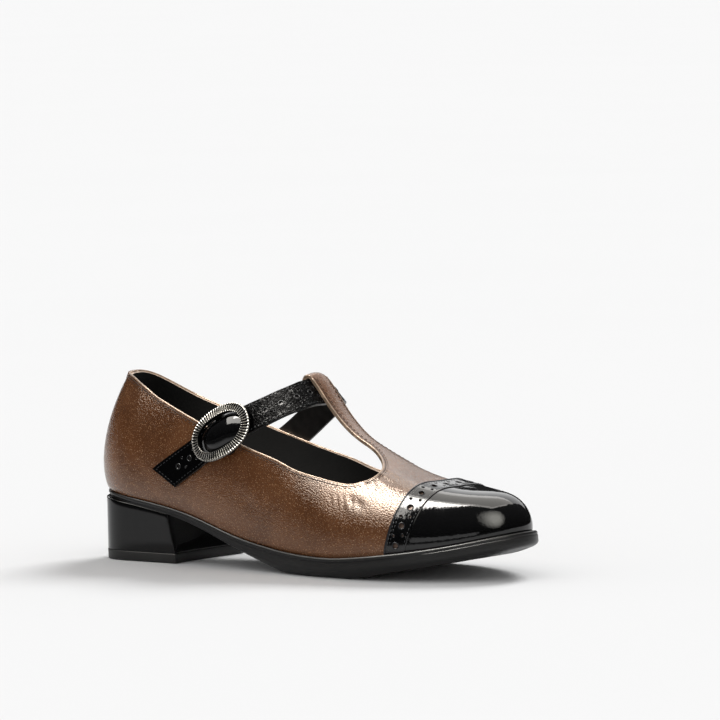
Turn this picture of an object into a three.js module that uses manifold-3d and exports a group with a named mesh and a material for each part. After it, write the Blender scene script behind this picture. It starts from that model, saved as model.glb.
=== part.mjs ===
// A woman's right shoe with a block heel, a T-bar, a black toe cap with a punched band, and a buckled strap.
// Units are millimetres. X runs from heel to toe, Y towards the inner side of the foot, and Z up from the floor.
// The outer side of the foot is -Y. Lengths along the shoe start at the back of the feather line,
// the edge where the upper meets the sole.
import * as THREE from "three";
import { mergeVertices } from "three/addons/utils/BufferGeometryUtils.js";
import Module from "manifold-3d";

const wasm = await Module();
wasm.setup();

// Driving dimensions of the last
const lastLength = 239; // feather line, heel to toe
const ballHalfWidth = 40; // half of the feather line's width at the ball
const seatHeight = 33.5; // feather line above the floor at the back of the heel
const ballHeight = 9.4; // feather line above the floor at the ball
const toeSpring = 12.8; // rise of the feather line from the ball to the toe
const instepHeight = 62; // crown above the feather line, which the crown shares count in
const heelRound = 30; // length over which the heel's outline rounds off
const toeRound = 62; // length over which the toe's outline rounds off
const ridgeStart = 32; // where the last's top line starts, ahead of the heel
const ridgeSetback = 32; // where it ends, behind the toe
const sideBulge = 5; // how far the sides swell out over the feather line at the heel

// Materials' thicknesses
const wall = 1.8; // upper leather with its lining
const capThickness = 1.0;
const bandThickness = 1.5;
const tabThickness = 0.7;
const strapThickness = 1.8;
const insoleThickness = 2.6;
const gap = 0.3; // between two pieces that are glued or sewn together

// Sole
const soleMargin = 4; // how far it stands out from the feather line beside the toes
const soleSide = 5; // height of its side under the waist
const soleDrop = 4; // height of the bevel below the side, under the forefoot
const soleBevel = 5; // how far the bevel runs in at the ball

// Heel
const heelHalfWidth = 27.5;
const heelBack = 0.4; // back of the heel block, from the back of the feather line
const heelLength = 52.6; // back to breast at the floor
const breastSlope = 4.4; // the breast stands this much further back at its top
const breastHollow = 1.2; // the breast's middle stands back from its corners
const heelCurve = 22; // length over which the heel's back rounds off
const heelPower = 2.4; // its shape, as a power of the rounding
const topPieceThickness = 4.6;
const heelFlare = 0.3; // the block widens by this much at the sole

// T-bar and opening
const barWidth = 14.0;
const barLoopDepth = 6.2; // from the T-bar's face to the back of its folded end
const openingNose = 18; // length over which an opening's front end rounds off

// Strap and buckle
const strapWidth = 14.5;
const strapEndTurn = THREE.MathUtils.degToRad(27); // turn of the free end's cut from square
const strapSink = 4; // how far the strap passes below the last's top line at the T-bar
const bucklePlace = 0.352; // the buckle's place up the strap's rib coordinate
const buckleReach = 0.07; // the stretch of strap on each side that the flat frame lines up with
const buckleLength = 37;
const buckleWidth = 25.5;
const buckleBand = 4.9;
const buckleThickness = 2.0;
const buckleBar = 4.0; // width of the bar under the strap
const barThickness = 0.8;
const buckleRide = 1.25; // the frame's underside above the strap's middle layer, where the strap bends over the bar

// Toe cap and its band, cut off square to the shoe
const capLine = 0.808; // front edge of the band at the floor, share of the last
const bandLine = 0.7715; // back edge of the band at the floor
const capLean = 0.26; // how far the front edge runs forward per millimetre of height
const bandLean = 0.2; // and the back edge
const tabHeight = 13;
const tabHalfWidth = 12;

// Fineness of the lofts
const stations = 36; // from heel to toe, on each side
const ribs = 13; // from the feather line to the top line
const strapSteps = 64;
const buckleSteps = 48;

// The last's sections: place along the feather line; outer and inner half widths as shares of ballHalfWidth;
// seat and spring, the shares of the heel's and the toe's rise; crown, a share of instepHeight;
// ridge, the top line's offset to the inner side, a share of ballHalfWidth; outerRound and innerRound, each side's
// section from about 0.5 for a boxy one to 1.7 for a leaning one; innerFall, how late the inner side's ribs take on
// the top line's slope; and bulge, a share of sideBulge.
const sections = [
  { at: 0.0, outer: 0.64, inner: 0.64, seat: 1.0, spring: 0.0, crown: 1.26, ridge: 0.0, outerRound: 1.2, innerRound: 1.2, innerFall: 4.0, bulge: 1 },
  { at: 0.12, outer: 0.67, inner: 0.65, seat: 0.87, spring: 0.0, crown: 1.32, ridge: 0.0, outerRound: 1.2, innerRound: 1.2, innerFall: 4.0, bulge: 1 },
  { at: 0.25, outer: 0.7, inner: 0.62, seat: 0.65, spring: 0.0, crown: 1.42, ridge: 0.01, outerRound: 1.05, innerRound: 1.05, innerFall: 4.0, bulge: 1 },
  { at: 0.4, outer: 0.8, inner: 0.58, seat: 0.24, spring: 0.0, crown: 1.5, ridge: 0.03, outerRound: 0.9, innerRound: 0.9, innerFall: 4.0, bulge: 0.96 },
  { at: 0.5, outer: 0.9, inner: 0.7, seat: 0.08, spring: 0.0, crown: 1.33, ridge: 0.04, outerRound: 0.88, innerRound: 1.0, innerFall: 3.0, bulge: 0.8 },
  { at: 0.55, outer: 0.95, inner: 0.78, seat: 0.03, spring: 0.0, crown: 1.1, ridge: 0.05, outerRound: 0.88, innerRound: 1.25, innerFall: 1.6, bulge: 0.7 },
  { at: 0.6, outer: 0.99, inner: 0.88, seat: 0.0, spring: 0.0, crown: 0.92, ridge: 0.06, outerRound: 0.88, innerRound: 1.5, innerFall: 0.8, bulge: 0.6 },
  { at: 0.67, outer: 1.02, inner: 0.98, seat: 0.0, spring: 0.0, crown: 0.77, ridge: 0.07, outerRound: 0.82, innerRound: 1.7, innerFall: 0.8, bulge: 0.5 },
  { at: 0.78, outer: 0.97, inner: 0.99, seat: 0.0, spring: 0.21, crown: 0.53, ridge: 0.08, outerRound: 0.68, innerRound: 1.6, innerFall: 0.9, bulge: 0.28 },
  { at: 0.89, outer: 0.82, inner: 0.86, seat: 0.0, spring: 0.53, crown: 0.385, ridge: 0.08, outerRound: 0.58, innerRound: 0.75, innerFall: 2.5, bulge: 0.12 },
  { at: 1.0, outer: 0.64, inner: 0.66, seat: 0.0, spring: 1.0, crown: 0.315, ridge: 0.06, outerRound: 0.54, innerRound: 0.54, innerFall: 4.0, bulge: 0.14 },
];
const outerFall = 4; // how late the outer side's ribs take on the top line's slope

// The topline: how far up its rib the edge lies on each side, and how far the openings reach.
const topline = [
  { at: 0.0, outer: 0.512, inner: 0.512 },
  { at: 0.05, outer: 0.498, inner: 0.43 },
  { at: 0.1, outer: 0.46, inner: 0.374 },
  { at: 0.16, outer: 0.41, inner: 0.342 },
  { at: 0.28, outer: 0.354, inner: 0.304 },
  { at: 0.42, outer: 0.336, inner: 0.3 },
  { at: 0.54, outer: 0.366, inner: 0.318 },
  { at: 0.63, outer: 0.432, inner: 0.39 },
  { at: 0.72, outer: 0.48, inner: 0.45 },
];
const noses = { outer: { at: 0.753, up: 0.74 }, inner: { at: 0.745, up: 0.72 } };
const barEnd = 0.5; // where the T-bar's free end lies along the last

// The sole, in shares of its margin, its side, its drop and its bevel: how far it stands out from the feather line,
// the height of its side, the height of the bevel below it, and how far the bevel runs in.
const soleSections = [
  { at: 0.0, margin: 0.35, side: 0.44, drop: 0, bevel: 0.08 },
  { at: 0.12, margin: 0.35, side: 0.5, drop: 0, bevel: 0.08 },
  { at: 0.25, margin: 0.35, side: 0.68, drop: 0.075, bevel: 0.2 },
  { at: 0.4, margin: 0.4, side: 1, drop: 0.3, bevel: 0.5 },
  { at: 0.5, margin: 0.55, side: 1.2, drop: 0.9, bevel: 0.8 },
  { at: 0.58, margin: 0.75, side: 1.2, drop: 1.15, bevel: 1 },
  { at: 0.67, margin: 0.85, side: 1.12, drop: 1.15, bevel: 1 },
  { at: 0.78, margin: 0.95, side: 1.08, drop: 0.85, bevel: 0.9 },
  { at: 0.89, margin: 1, side: 1.12, drop: 0.85, bevel: 0.9 },
  { at: 1.0, margin: 1.05, side: 1.04, drop: 0.75, bevel: 0.8 },
];
const lipHeight = 1.4; // the sole's upper lip
const lipStep = 0.7; // how far it stands out from the side
const lipRise = 0.6; // and how far it rises round the upper, over half of the margin

// The strap's middle line: up is the place round the last, from 0 at the outer feather line over 1 at the top line
// to 2 at the inner one; along is its place on the last, and lift its height off the last's surface,
// a share of strapSink.
const strapRoute = [
  { up: 0.05, along: 0.17, lift: 0.075 },
  { up: 0.115, along: 0.2155, lift: 0.05 },
  { up: 0.222, along: 0.2885, lift: 0 },
  { up: 0.284, along: 0.324, lift: 0.025 },
  { up: 0.35, along: 0.3655, lift: 0.325 },
  { up: 0.43, along: 0.413, lift: 0 },
  { up: 0.528, along: 0.462, lift: -0.15 },
  { up: 0.658, along: 0.502, lift: -0.4 },
  { up: 0.8, along: 0.523, lift: -0.75 },
  { up: 1.0, along: 0.534, lift: -1.1 },
  { up: 1.2, along: 0.52, lift: -0.75 },
  { up: 1.34, along: 0.498, lift: -0.4 },
  { up: 1.5, along: 0.45, lift: -0.15 },
  { up: 1.66, along: 0.375, lift: 0 },
  { up: 1.83, along: 0.27, lift: 0 },
];

const brown = new THREE.MeshStandardMaterial({ color: 0x7a4f38, roughness: 0.32, metalness: 0.35 });
const blackPatent = new THREE.MeshStandardMaterial({ color: 0x0b0b0d, roughness: 0.12, metalness: 0.0 });
const blackRubber = new THREE.MeshStandardMaterial({ color: 0x17181a, roughness: 0.62, metalness: 0.0 });
const lining = new THREE.MeshStandardMaterial({ color: 0x1a1a1c, roughness: 0.85, metalness: 0.0 });
const oldSilver = new THREE.MeshStandardMaterial({ color: 0x9b9a96, roughness: 0.34, metalness: 1.0 });

// A smooth curve through one column of a table, by the rows' key column.
function smooth(rows, key, column, at) {
  const last = rows.length - 1;
  const x = THREE.MathUtils.clamp(at, rows[0][key], rows[last][key]);
  const slope = (i) => {
    const a = rows[Math.max(i - 1, 0)];
    const b = rows[Math.min(i + 1, last)];
    return (b[column] - a[column]) / (b[key] - a[key]);
  };
  let i = rows.findIndex((row) => row[key] > x) - 1;
  if (i < 0) i = last - 1;
  const width = rows[i + 1][key] - rows[i][key];
  const t = (x - rows[i][key]) / width;
  const curve = (1 + 2 * t) * (1 - t) ** 2 * rows[i][column] + t * t * (3 - 2 * t) * rows[i + 1][column];
  return curve + width * t * (1 - t) * ((1 - t) * slope(i) - t * slope(i + 1));
}

// 0 at the start of a rounded end and 1 where its outline reaches the full width.
function rounded(distance, length, power) {
  const t = THREE.MathUtils.clamp(1 - distance / length, 0, 1);
  return (1 - t ** power) ** (1 / power);
}

// The last. An angle of 0 is the back of the heel, and pi the toe; below 0 is the outer side of the foot.
const endPower = 2.2;
const along = (angle) => (lastLength * (1 - Math.cos(angle))) / 2;
const angleAt = (share) => Math.acos(1 - 2 * share);
const sideOf = (angle) => (Math.sin(angle) < 0 ? "outer" : "inner");
const section = (column, x) => smooth(sections, "at", column, x / lastLength);
const sectionRound = (angle) => section(Math.sin(angle) < 0 ? "outerRound" : "innerRound", along(angle));
const seamHeight = (x) =>
  ballHeight + (seatHeight - ballHeight) * section("seat", x) + toeSpring * section("spring", x);

function featherPoint(angle) {
  const x = along(angle);
  const ends = rounded(x, heelRound, endPower) * rounded(lastLength - x, toeRound, endPower);
  const y = Math.sign(Math.sin(angle)) * ballHalfWidth * section(sideOf(angle), x) * ends;
  return new THREE.Vector3(x, y, seamHeight(x));
}

function featherOutward(angle) {
  const step = 0.01;
  const run = featherPoint(angle + step).sub(featherPoint(angle - step));
  return new THREE.Vector3(-run.y, run.x, 0).normalize();
}

const ridgeX = (angle) => ridgeStart + ((lastLength - ridgeSetback - ridgeStart) * along(angle)) / lastLength;
const ridgeHeight = (x) => seamHeight(x) + instepHeight * section("crown", x);
const ridgeSlope = (angle) => (ridgeHeight(ridgeX(angle) + 2) - ridgeHeight(ridgeX(angle) - 2)) / 4;

function ridgePoint(angle) {
  const x = ridgeX(angle);
  return new THREE.Vector3(x, ballHalfWidth * section("ridge", x), ridgeHeight(x));
}

// A point on the last; up runs from 0 at the feather line to 1 at the top line, and past it to the other side.
function lastPoint(angle, up) {
  const feather = featherPoint(angle);
  const ridge = ridgePoint(angle);
  const lean = Math.cos((up * Math.PI) / 2);
  const inward = 1 - Math.sign(lean) * Math.abs(lean) ** sectionRound(angle);
  const below = Math.min(up, 1);
  const swell = sideBulge * section("bulge", along(angle)) * Math.sin(Math.PI * Math.sqrt(below)) * (1 - below ** 4);
  const out = featherOutward(angle).multiplyScalar(swell);
  const x = feather.x + (ridge.x - feather.x) * inward + out.x;
  const fall = Math.sin(angle) < 0 ? outerFall : section("innerFall", along(angle));
  // Near the top the rib takes on the top line's own slope, so that the two sides meet without a crease.
  const top = ridge.z + ridgeSlope(angle) * (x - ridge.x) * up ** fall;
  return new THREE.Vector3(
    x,
    feather.y + (ridge.y - feather.y) * inward + out.y,
    feather.z + (top - feather.z) * Math.sin((up * Math.PI) / 2),
  );
}

// Straight out of the last's surface, and level at the feather line.
function lastOutward(angle, up) {
  if (Math.abs(up - 1) < 1e-3) {
    const ridge = ridgePoint(angle + 0.02).sub(ridgePoint(angle - 0.02));
    if (Math.sin(angle) < 0) ridge.negate();
    return ridge.length() < 1e-3 ? new THREE.Vector3(0, 0, 1) : new THREE.Vector3(-ridge.z, 0, ridge.x).normalize();
  }
  const level = featherOutward(angle);
  const stepUp = 0.01;
  const stepRound = 0.012;
  const rise = lastPoint(angle, up + stepUp).sub(lastPoint(angle, Math.max(up - stepUp, 0)));
  const run = lastPoint(angle + stepRound, up).sub(lastPoint(angle - stepRound, up));
  const normal = run.cross(rise).normalize().negate();
  if (normal.lengthSq() < 0.5) return new THREE.Vector3(0, 0, 1);
  const share = THREE.MathUtils.smoothstep(up, 0, 0.12);
  return level.multiplyScalar(1 - share).addScaledVector(normal, share).normalize();
}

const skinPoint = (angle, up, lift) => lastPoint(angle, up).addScaledVector(lastOutward(angle, up), lift);

// Solids
function solidOfGeometry(geometry) {
  const bare = geometry.index ? geometry.toNonIndexed() : geometry.clone();
  for (const name of Object.keys(bare.attributes)) if (name !== "position") bare.deleteAttribute(name);
  const merged = mergeVertices(bare, 1e-4);
  const index = [];
  for (let i = 0; i < merged.index.count; i += 3) {
    const [a, b, c] = [0, 1, 2].map((k) => merged.index.getX(i + k));
    if (a !== b && b !== c && c !== a) index.push(a, b, c);
  }
  const vertProperties = new Float32Array(merged.attributes.position.array);
  return new wasm.Manifold(new wasm.Mesh({ numProp: 3, vertProperties, triVerts: new Uint32Array(index) }));
}

function solidOfTriangles(corners) {
  const positions = corners.flatMap((p) => [p.x, p.y, p.z]);
  const geometry = new THREE.BufferGeometry();
  geometry.setAttribute("position", new THREE.Float32BufferAttribute(positions, 3));
  return solidOfGeometry(geometry);
}

const quad = (a, b, c, d) => [a, b, c, a, c, d];

// A solid through loops that lie above one another. Each loop starts at the heel, runs forward on the outer side
// and back on the inner side, so that its ends close across the shoe.
function loftLoops(loops) {
  const count = loops[0].length;
  const corners = [];
  for (let k = 0; k + 1 < loops.length; k++)
    for (let i = 0; i < count; i++) {
      const j = (i + 1) % count;
      corners.push(...quad(loops[k][i], loops[k][j], loops[k + 1][j], loops[k + 1][i]));
    }
  const floor = loops[0];
  const roof = loops[loops.length - 1];
  for (let i = 0; i < count / 2; i++) {
    const across = (count - i) % count;
    const ahead = count - i - 1;
    corners.push(...quad(floor[i], floor[across], floor[ahead], floor[i + 1]));
    corners.push(...quad(roof[i], roof[i + 1], roof[ahead], roof[across]));
  }
  return solidOfTriangles(corners);
}

// A solid strip: rows of cross-sections, each a closed loop of the same number of points.
function loftStrip(rows) {
  const corners = [];
  const count = rows[0].length;
  for (let k = 0; k + 1 < rows.length; k++)
    for (let i = 0; i < count; i++) {
      const j = (i + 1) % count;
      corners.push(...quad(rows[k][i], rows[k + 1][i], rows[k + 1][j], rows[k][j]));
    }
  const first = rows[0];
  const end = rows[rows.length - 1];
  for (let i = 1; i + 1 < count; i++) {
    corners.push(first[0], first[i], first[i + 1]);
    corners.push(end[0], end[i + 1], end[i]);
  }
  return solidOfTriangles(corners);
}

// The angles of a loop round the last.
const loopAngles = Array.from({ length: 2 * stations }, (_, i) =>
  i <= stations ? (-Math.PI * i) / stations : (Math.PI * (2 * stations - i)) / stations,
);
const ribShares = Array.from({ length: ribs + 1 }, (_, j) => (1 - Math.cos((Math.PI * j) / ribs)) / 2);

// The last grown or shrunk by a lift, closed at the feather line or carried below it.
function lastSolid(lift, below = 0) {
  const loops = ribShares.map((up) => loopAngles.map((angle) => skinPoint(angle, up, lift)));
  if (below > 0) loops.unshift(loops[0].map((p) => p.clone().setZ(p.z - below)));
  return loftLoops(loops);
}

// A block with a side-view outline of [x, z] corners that reaches across the shoe.
function sideBlock(outline, halfWidth = 2 * ballHalfWidth) {
  const shape = new THREE.Shape(outline.map(([x, z]) => new THREE.Vector2(x, z)));
  const geometry = new THREE.ExtrudeGeometry(shape, { depth: 2 * halfWidth, bevelEnabled: false });
  geometry.rotateX(Math.PI / 2);
  geometry.translate(0, halfWidth, 0);
  return solidOfGeometry(geometry);
}

// Openings
// The T-bar's edge, as a place up the rib.
function barEdge(angle) {
  const reach = Math.abs(featherPoint(angle).y - ridgePoint(angle).y);
  const share = Math.min(barWidth / 2 / reach, 1);
  return 1 - (2 / Math.PI) * Math.asin(share ** (1 / sectionRound(angle)));
}

// A solid over one side's opening, from the topline up to the T-bar, or past the top line behind the T-bar's end.
function openingSolid(side) {
  const sign = side === "outer" ? -1 : 1;
  const depth = 7;
  const height = 14;
  const cells = 6;
  const end = noses[side];
  const start = end.at - openingNose / lastLength;
  const past = 1.05;
  const steps = 20;
  const spread = Array.from({ length: steps + 1 }, (_, i) => i / steps);
  const behind = spread.map((t) => ({ share: barEnd * t ** 1.5, high: () => past }));
  const ahead = spread.map((t) => ({ share: barEnd + (end.at - barEnd) * Math.sin((Math.PI / 2) * t), high: barEdge }));
  ahead[0].share += 1e-4;
  const rows = [{ share: -5e-4, high: () => past }, ...behind, ...ahead].map(({ share, high }) => {
    const angle = (share < 0 ? -sign : sign) * angleAt(Math.abs(share));
    const fade = Math.sqrt(Math.max(1 - Math.max((share - start) / (end.at - start), 0) ** 2, 0));
    const bottom = end.up + (smooth(topline, "at", side, Math.max(share, 0)) - end.up) * fade;
    const top = end.up + (high(angle) - end.up) * fade;
    const ups = Array.from({ length: cells + 1 }, (_, j) => bottom + ((top - bottom) * j) / cells);
    const inside = ups.map((up) => skinPoint(angle, up, -depth));
    return [...inside, ...ups.map((up) => skinPoint(angle, up, height)).toReversed()];
  });
  return loftStrip(sign < 0 ? rows.map((row) => row.toReversed()) : rows);
}

// Strap
const strapPlace = (up) => {
  const share = smooth(strapRoute, "up", "along", up);
  const angle = angleAt(share);
  return up <= 1 ? { angle: -angle, up } : { angle, up: 2 - up };
};

function strapCentre(up) {
  const place = strapPlace(up);
  const lift = strapSink * smooth(strapRoute, "up", "lift", up) + gap + strapThickness / 2;
  return skinPoint(place.angle, place.up, lift);
}

// The strap's own axes at a place: forward along it, out of it, and across it.
function strapAxes(up) {
  const step = 0.01;
  const place = strapPlace(up);
  const forward = strapCentre(up + step).sub(strapCentre(up - step)).normalize();
  const out = lastOutward(place.angle, place.up);
  const across = out.clone().cross(forward).normalize();
  return { forward, out: forward.clone().cross(across).normalize(), across };
}

const strapTail = strapRoute[0].up;
const strapStart = strapRoute[1].up;
const strapFinish = strapRoute[strapRoute.length - 1].up;

// The strap, or the room that it needs when it is grown by a clearance.
function strapSolid(clearance, from = strapTail, to = strapFinish) {
  const rows = [];
  for (let i = 0; i <= strapSteps; i++) {
    const up = from + ((to - from) * i) / strapSteps;
    const { out, across } = strapAxes(up);
    const half = strapWidth / 2 + clearance;
    const thick = strapThickness / 2 + clearance;
    const corner = (side, height) =>
      strapCentre(up)
        .addScaledVector(across, side * half)
        .addScaledVector(out, height * thick);
    rows.push([corner(-1, -1), corner(1, -1), corner(1, 1), corner(-1, 1)]);
  }
  return loftStrip(rows.map((row) => row.toReversed()));
}

// The free end is cut at a slant.
function strap() {
  const { forward, across } = strapAxes(strapStart);
  const normal = forward.multiplyScalar(Math.cos(strapEndTurn)).addScaledVector(across, Math.sin(strapEndTurn));
  return strapSolid(0).trimByPlane(normal.toArray(), normal.dot(strapCentre(strapStart)));
}

// Upper: a shell of the last with its openings, and the T-bar's end folded round the strap
function upperSolid() {
  const shell = lastSolid(0).subtract(lastSolid(-wall, 10));
  const solid = shell.subtract(openingSolid("outer")).subtract(openingSolid("inner"));
  return solid.subtract(crownBlock()).add(barLoop()).subtract(strapSolid(gap, 0.6, 1.4));
}

// What is left of the last's top between the two openings, behind the T-bar's end.
function crownBlock() {
  const low = lastPoint(0, topline[0].outer).z + 3;
  const high = 2 * low;
  const [back, front] = [heelRound / 2, ridgePoint(angleAt(barEnd)).x];
  return sideBlock([[back, low], [front, low], [front, high], [back, high]], barWidth);
}

// The block that the T-bar's folded end fills under its face, with rounded ends.
function barLoop() {
  const cover = 2.4; // how far the fold reaches past the strap on each side
  const hidden = wall / 2;
  const middle = angleAt(strapRoute.find((row) => row.up === 1).along);
  const slope = ridgePoint(middle + 0.01).sub(ridgePoint(middle - 0.01)).normalize();
  const reach = strapWidth / 2 + cover;
  const centre = ridgePoint(middle);
  const steps = 12;
  const rows = [];
  for (let i = 0; i <= steps; i++) {
    const t = -1 + (2 * i) / steps;
    const target = centre.x + slope.x * reach * t;
    const share = (target - ridgeStart) / (lastLength - ridgeSetback - ridgeStart);
    const angle = angleAt(share);
    const point = ridgePoint(angle);
    const run = ridgePoint(angle + 0.01).sub(ridgePoint(angle - 0.01)).normalize();
    const down = new THREE.Vector3(run.z, 0, -run.x);
    const round = Math.sqrt(1 - Math.min(Math.abs(t), 0.995) ** 6);
    const mid = (hidden + barLoopDepth) / 2;
    const top = point.clone().addScaledVector(down, mid - (mid - hidden) * round);
    const bottom = point.clone().addScaledVector(down, mid + (barLoopDepth - mid) * round);
    const half = barWidth / 2;
    rows.push([
      new THREE.Vector3(bottom.x, point.y - half, bottom.z),
      new THREE.Vector3(bottom.x, point.y + half, bottom.z),
      new THREE.Vector3(top.x, point.y + half, top.z),
      new THREE.Vector3(top.x, point.y - half, top.z),
    ]);
  }
  return loftStrip(rows.map((row) => row.toReversed()));
}

// Toe cap, punched band and heel tab: overlays cut between two larger forms of the last
function overlay(thickness, region) {
  return lastSolid(gap + thickness).subtract(lastSolid(gap, 10)).intersect(region);
}

// The side-view block ahead of an edge that starts at a share of the last and leans forward as it rises.
function aheadOf(share, lean, shift = 0) {
  const height = 3 * instepHeight;
  const x = share * lastLength + shift;
  return sideBlock([
    [x, 0],
    [2 * lastLength, 0],
    [2 * lastLength, height],
    [x + lean * height, height],
  ]);
}

const toeCap = () => overlay(capThickness, aheadOf(capLine, capLean, gap));
const punchedBand = () => overlay(bandThickness, aheadOf(bandLine, bandLean).subtract(aheadOf(capLine, capLean)));

// A small leaf sewn over the back seam under the topline.
function heelTab() {
  const shape = new THREE.Shape();
  const top = lastPoint(0, topline[0].outer).z;
  shape.moveTo(-tabHalfWidth, top - 1);
  shape.lineTo(tabHalfWidth, top - 1);
  shape.quadraticCurveTo(tabHalfWidth * 0.45, top - tabHeight * 0.75, 0, top - tabHeight);
  shape.quadraticCurveTo(-tabHalfWidth * 0.45, top - tabHeight * 0.75, -tabHalfWidth, top - 1);
  const geometry = new THREE.ExtrudeGeometry(shape, { depth: heelRound, bevelEnabled: false, curveSegments: 6 });
  geometry.rotateX(Math.PI / 2);
  geometry.rotateZ(Math.PI / 2);
  geometry.translate(-heelRound / 2, 0, 0);
  const leaf = overlay(tabThickness, solidOfGeometry(geometry));
  return leaf.subtract(openingSolid("outer")).subtract(openingSolid("inner"));
}

// Sole: a lip, a side, and a bevel down to a flat tread
const soleSection = (column, x) => smooth(soleSections, "at", column, x / lastLength);
const soleTop = (x) => seamHeight(x) - gap;
const soleEdge = (x) => soleTop(x) - soleSide * soleSection("side", x);
const soleTread = (x) => Math.max(soleEdge(x) - soleDrop * soleSection("drop", x), 0);

function soleLoop(height, inset) {
  return loopAngles.map((angle) => {
    const x = along(angle);
    const point = featherPoint(angle).addScaledVector(featherOutward(angle), soleMargin * soleSection("margin", x) - inset(x));
    return point.setZ(height(x));
  });
}

function outsole() {
  return loftLoops([
    soleLoop(soleTread, (x) => lipStep + soleBevel * soleSection("bevel", x)),
    soleLoop(soleEdge, () => lipStep),
    soleLoop((x) => soleTop(x) - Math.min(lipHeight, soleSide * soleSection("side", x) / 2), () => lipStep),
    soleLoop((x) => soleTop(x) - Math.min(lipHeight, soleSide * soleSection("side", x) / 2) + lipStep / 3, () => 0),
    soleLoop((x) => soleTop(x) + lipRise, () => 0.2),
    soleLoop((x) => soleTop(x) + lipRise, (x) => soleMargin * soleSection("margin", x) * 0.45),
    soleLoop(soleTop, (x) => soleMargin * soleSection("margin", x) * 0.55),
  ]);
}

// Insole, inside the upper's wall
function insole() {
  const loop = (rise, inset) =>
    loopAngles.map((angle) => {
      const point = featherPoint(angle).addScaledVector(featherOutward(angle), -wall - gap - inset);
      return point.setZ(point.z + rise);
    });
  return loftLoops([loop(0, 0), loop(insoleThickness * 0.7, 0), loop(insoleThickness, 0.6)]);
}

// Heel block and top piece, with a D-shaped outline
function heelLoop(height, front, widen) {
  const curve = 14;
  const half = [];
  for (let i = 0; i < curve; i++) {
    const depth = front * (1 - Math.cos((Math.PI / 2) * (i / (curve - 1))));
    half.push({ x: depth, y: (heelHalfWidth + widen) * rounded(depth, heelCurve, heelPower) });
  }
  const place = (x, y) => new THREE.Vector3(heelBack + x, y, height(heelBack + x));
  return [
    place(0, 0),
    ...half.slice(1).map((p) => place(p.x, -p.y)),
    place(front - breastHollow, 0),
    ...half.slice(1).toReversed().map((p) => place(p.x, p.y)),
  ];
}


function heelBlock() {
  const top = (x) => soleEdge(x) - gap;
  const base = topPieceThickness + gap;
  const level = (share) => (x) => base + (top(x) - base) * share;
  const loops = [0, 0.55, 0.85, 1].map((share) =>
    heelLoop(level(share), heelLength - breastSlope * share, heelFlare * share ** 3 - heelFlare / 2),
  );
  return loftLoops(loops);
}

const topPiece = () =>
  loftLoops([heelLoop(() => 0, heelLength, -0.4), heelLoop(() => topPieceThickness, heelLength, -heelFlare / 2)]);

// Buckle: an oval frame over the strap, and a bar across its middle that the strap rides over
function buckle() {
  const seat = strapCentre(bucklePlace);
  const forward = strapCentre(bucklePlace + buckleReach).sub(strapCentre(bucklePlace - buckleReach)).normalize();
  const across = strapAxes(bucklePlace).out.cross(forward).normalize();
  const out = forward.clone().cross(across);
  const place = (a, b, height) =>
    seat.clone().addScaledVector(forward, a).addScaledVector(across, b).addScaledVector(out, height);
  const under = buckleRide;
  const over = under + buckleThickness;
  const ring = [];
  for (let i = 0; i < buckleSteps; i++) {
    const angle = (2 * Math.PI * i) / buckleSteps;
    const at = (inset, height) =>
      place((buckleLength / 2 - inset) * Math.cos(angle), (buckleWidth / 2 - inset) * Math.sin(angle), height);
    ring.push([
      at(0.3, under),
      at(0, under + buckleThickness / 2),
      at(0.7, over - 0.4),
      at(buckleBand - 0.8, over),
      at(buckleBand, over - 0.6),
      at(buckleBand, under),
    ]);
  }
  const corners = [];
  const count = ring[0].length;
  ring.forEach((row, i) => {
    const next = ring[(i + 1) % buckleSteps];
    for (let k = 0; k < count; k++) {
      const l = (k + 1) % count;
      corners.push(...quad(row[k], next[k], next[l], row[l]));
    }
  });
  const barTop = -strapThickness / 2 - 1.4 * gap;
  const barFoot = barTop - barThickness;
  const barEnds = buckleWidth / 2 - 1.2;
  const post = strapWidth / 2 + gap;
  const beam = (from, to, low, high) => {
    const half = buckleBar / 2;
    const row = (b) => [place(-half, b, low), place(half, b, low), place(half, b, high), place(-half, b, high)];
    return loftStrip([row(from), row(to)]);
  };
  return solidOfTriangles(corners)
    .add(beam(-barEnds, barEnds, barFoot, barTop))
    .add(beam(-barEnds, -post, barTop - 0.1, under + 0.5))
    .add(beam(post, barEnds, barTop - 0.1, under + 0.5));
}

const pieces = {
  upper: [upperSolid, brown],
  toe_cap: [toeCap, blackPatent],
  punched_band: [punchedBand, blackPatent],
  heel_tab: [heelTab, brown],
  strap: [strap, blackPatent],
  buckle: [buckle, oldSilver],
  insole: [insole, lining],
  outsole: [outsole, blackRubber],
  heel: [heelBlock, blackPatent],
  top_piece: [topPiece, blackRubber],
};

function meshOf(name, solid, material) {
  const { vertProperties, triVerts } = solid.getMesh();
  const geometry = new THREE.BufferGeometry();
  geometry.setAttribute("position", new THREE.BufferAttribute(new Float32Array(vertProperties), 3));
  geometry.setIndex(new THREE.BufferAttribute(new Uint32Array(triVerts), 1));
  const mesh = new THREE.Mesh(geometry.toNonIndexed(), material);
  mesh.geometry.computeVertexNormals();
  mesh.name = name;
  return mesh;
}

const shoe = new THREE.Group();
for (const [name, [make, material]] of Object.entries(pieces)) {
  const solid = make();
  shoe.add(meshOf(name, solid, material));
}

// The origin is on the floor, under the middle of the shoe.
const box = new THREE.Box3().setFromObject(shoe);
const middle = box.getCenter(new THREE.Vector3());
shoe.position.set(-middle.x, -middle.y, -box.min.z);

export default shoe;
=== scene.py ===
"""Looks for a woman's right shoe with a T-bar, a block heel, a black toe cap and a punched strap.

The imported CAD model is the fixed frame. Every visible piece is modelled here on the same last surface as the
CAD part, in millimetres, and is placed in the row frame, in metres, as it is made.
"""

from __future__ import annotations

import logging
import math
from dataclasses import dataclass, field
from enum import Enum
from functools import cache
from typing import Callable, Sequence

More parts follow.
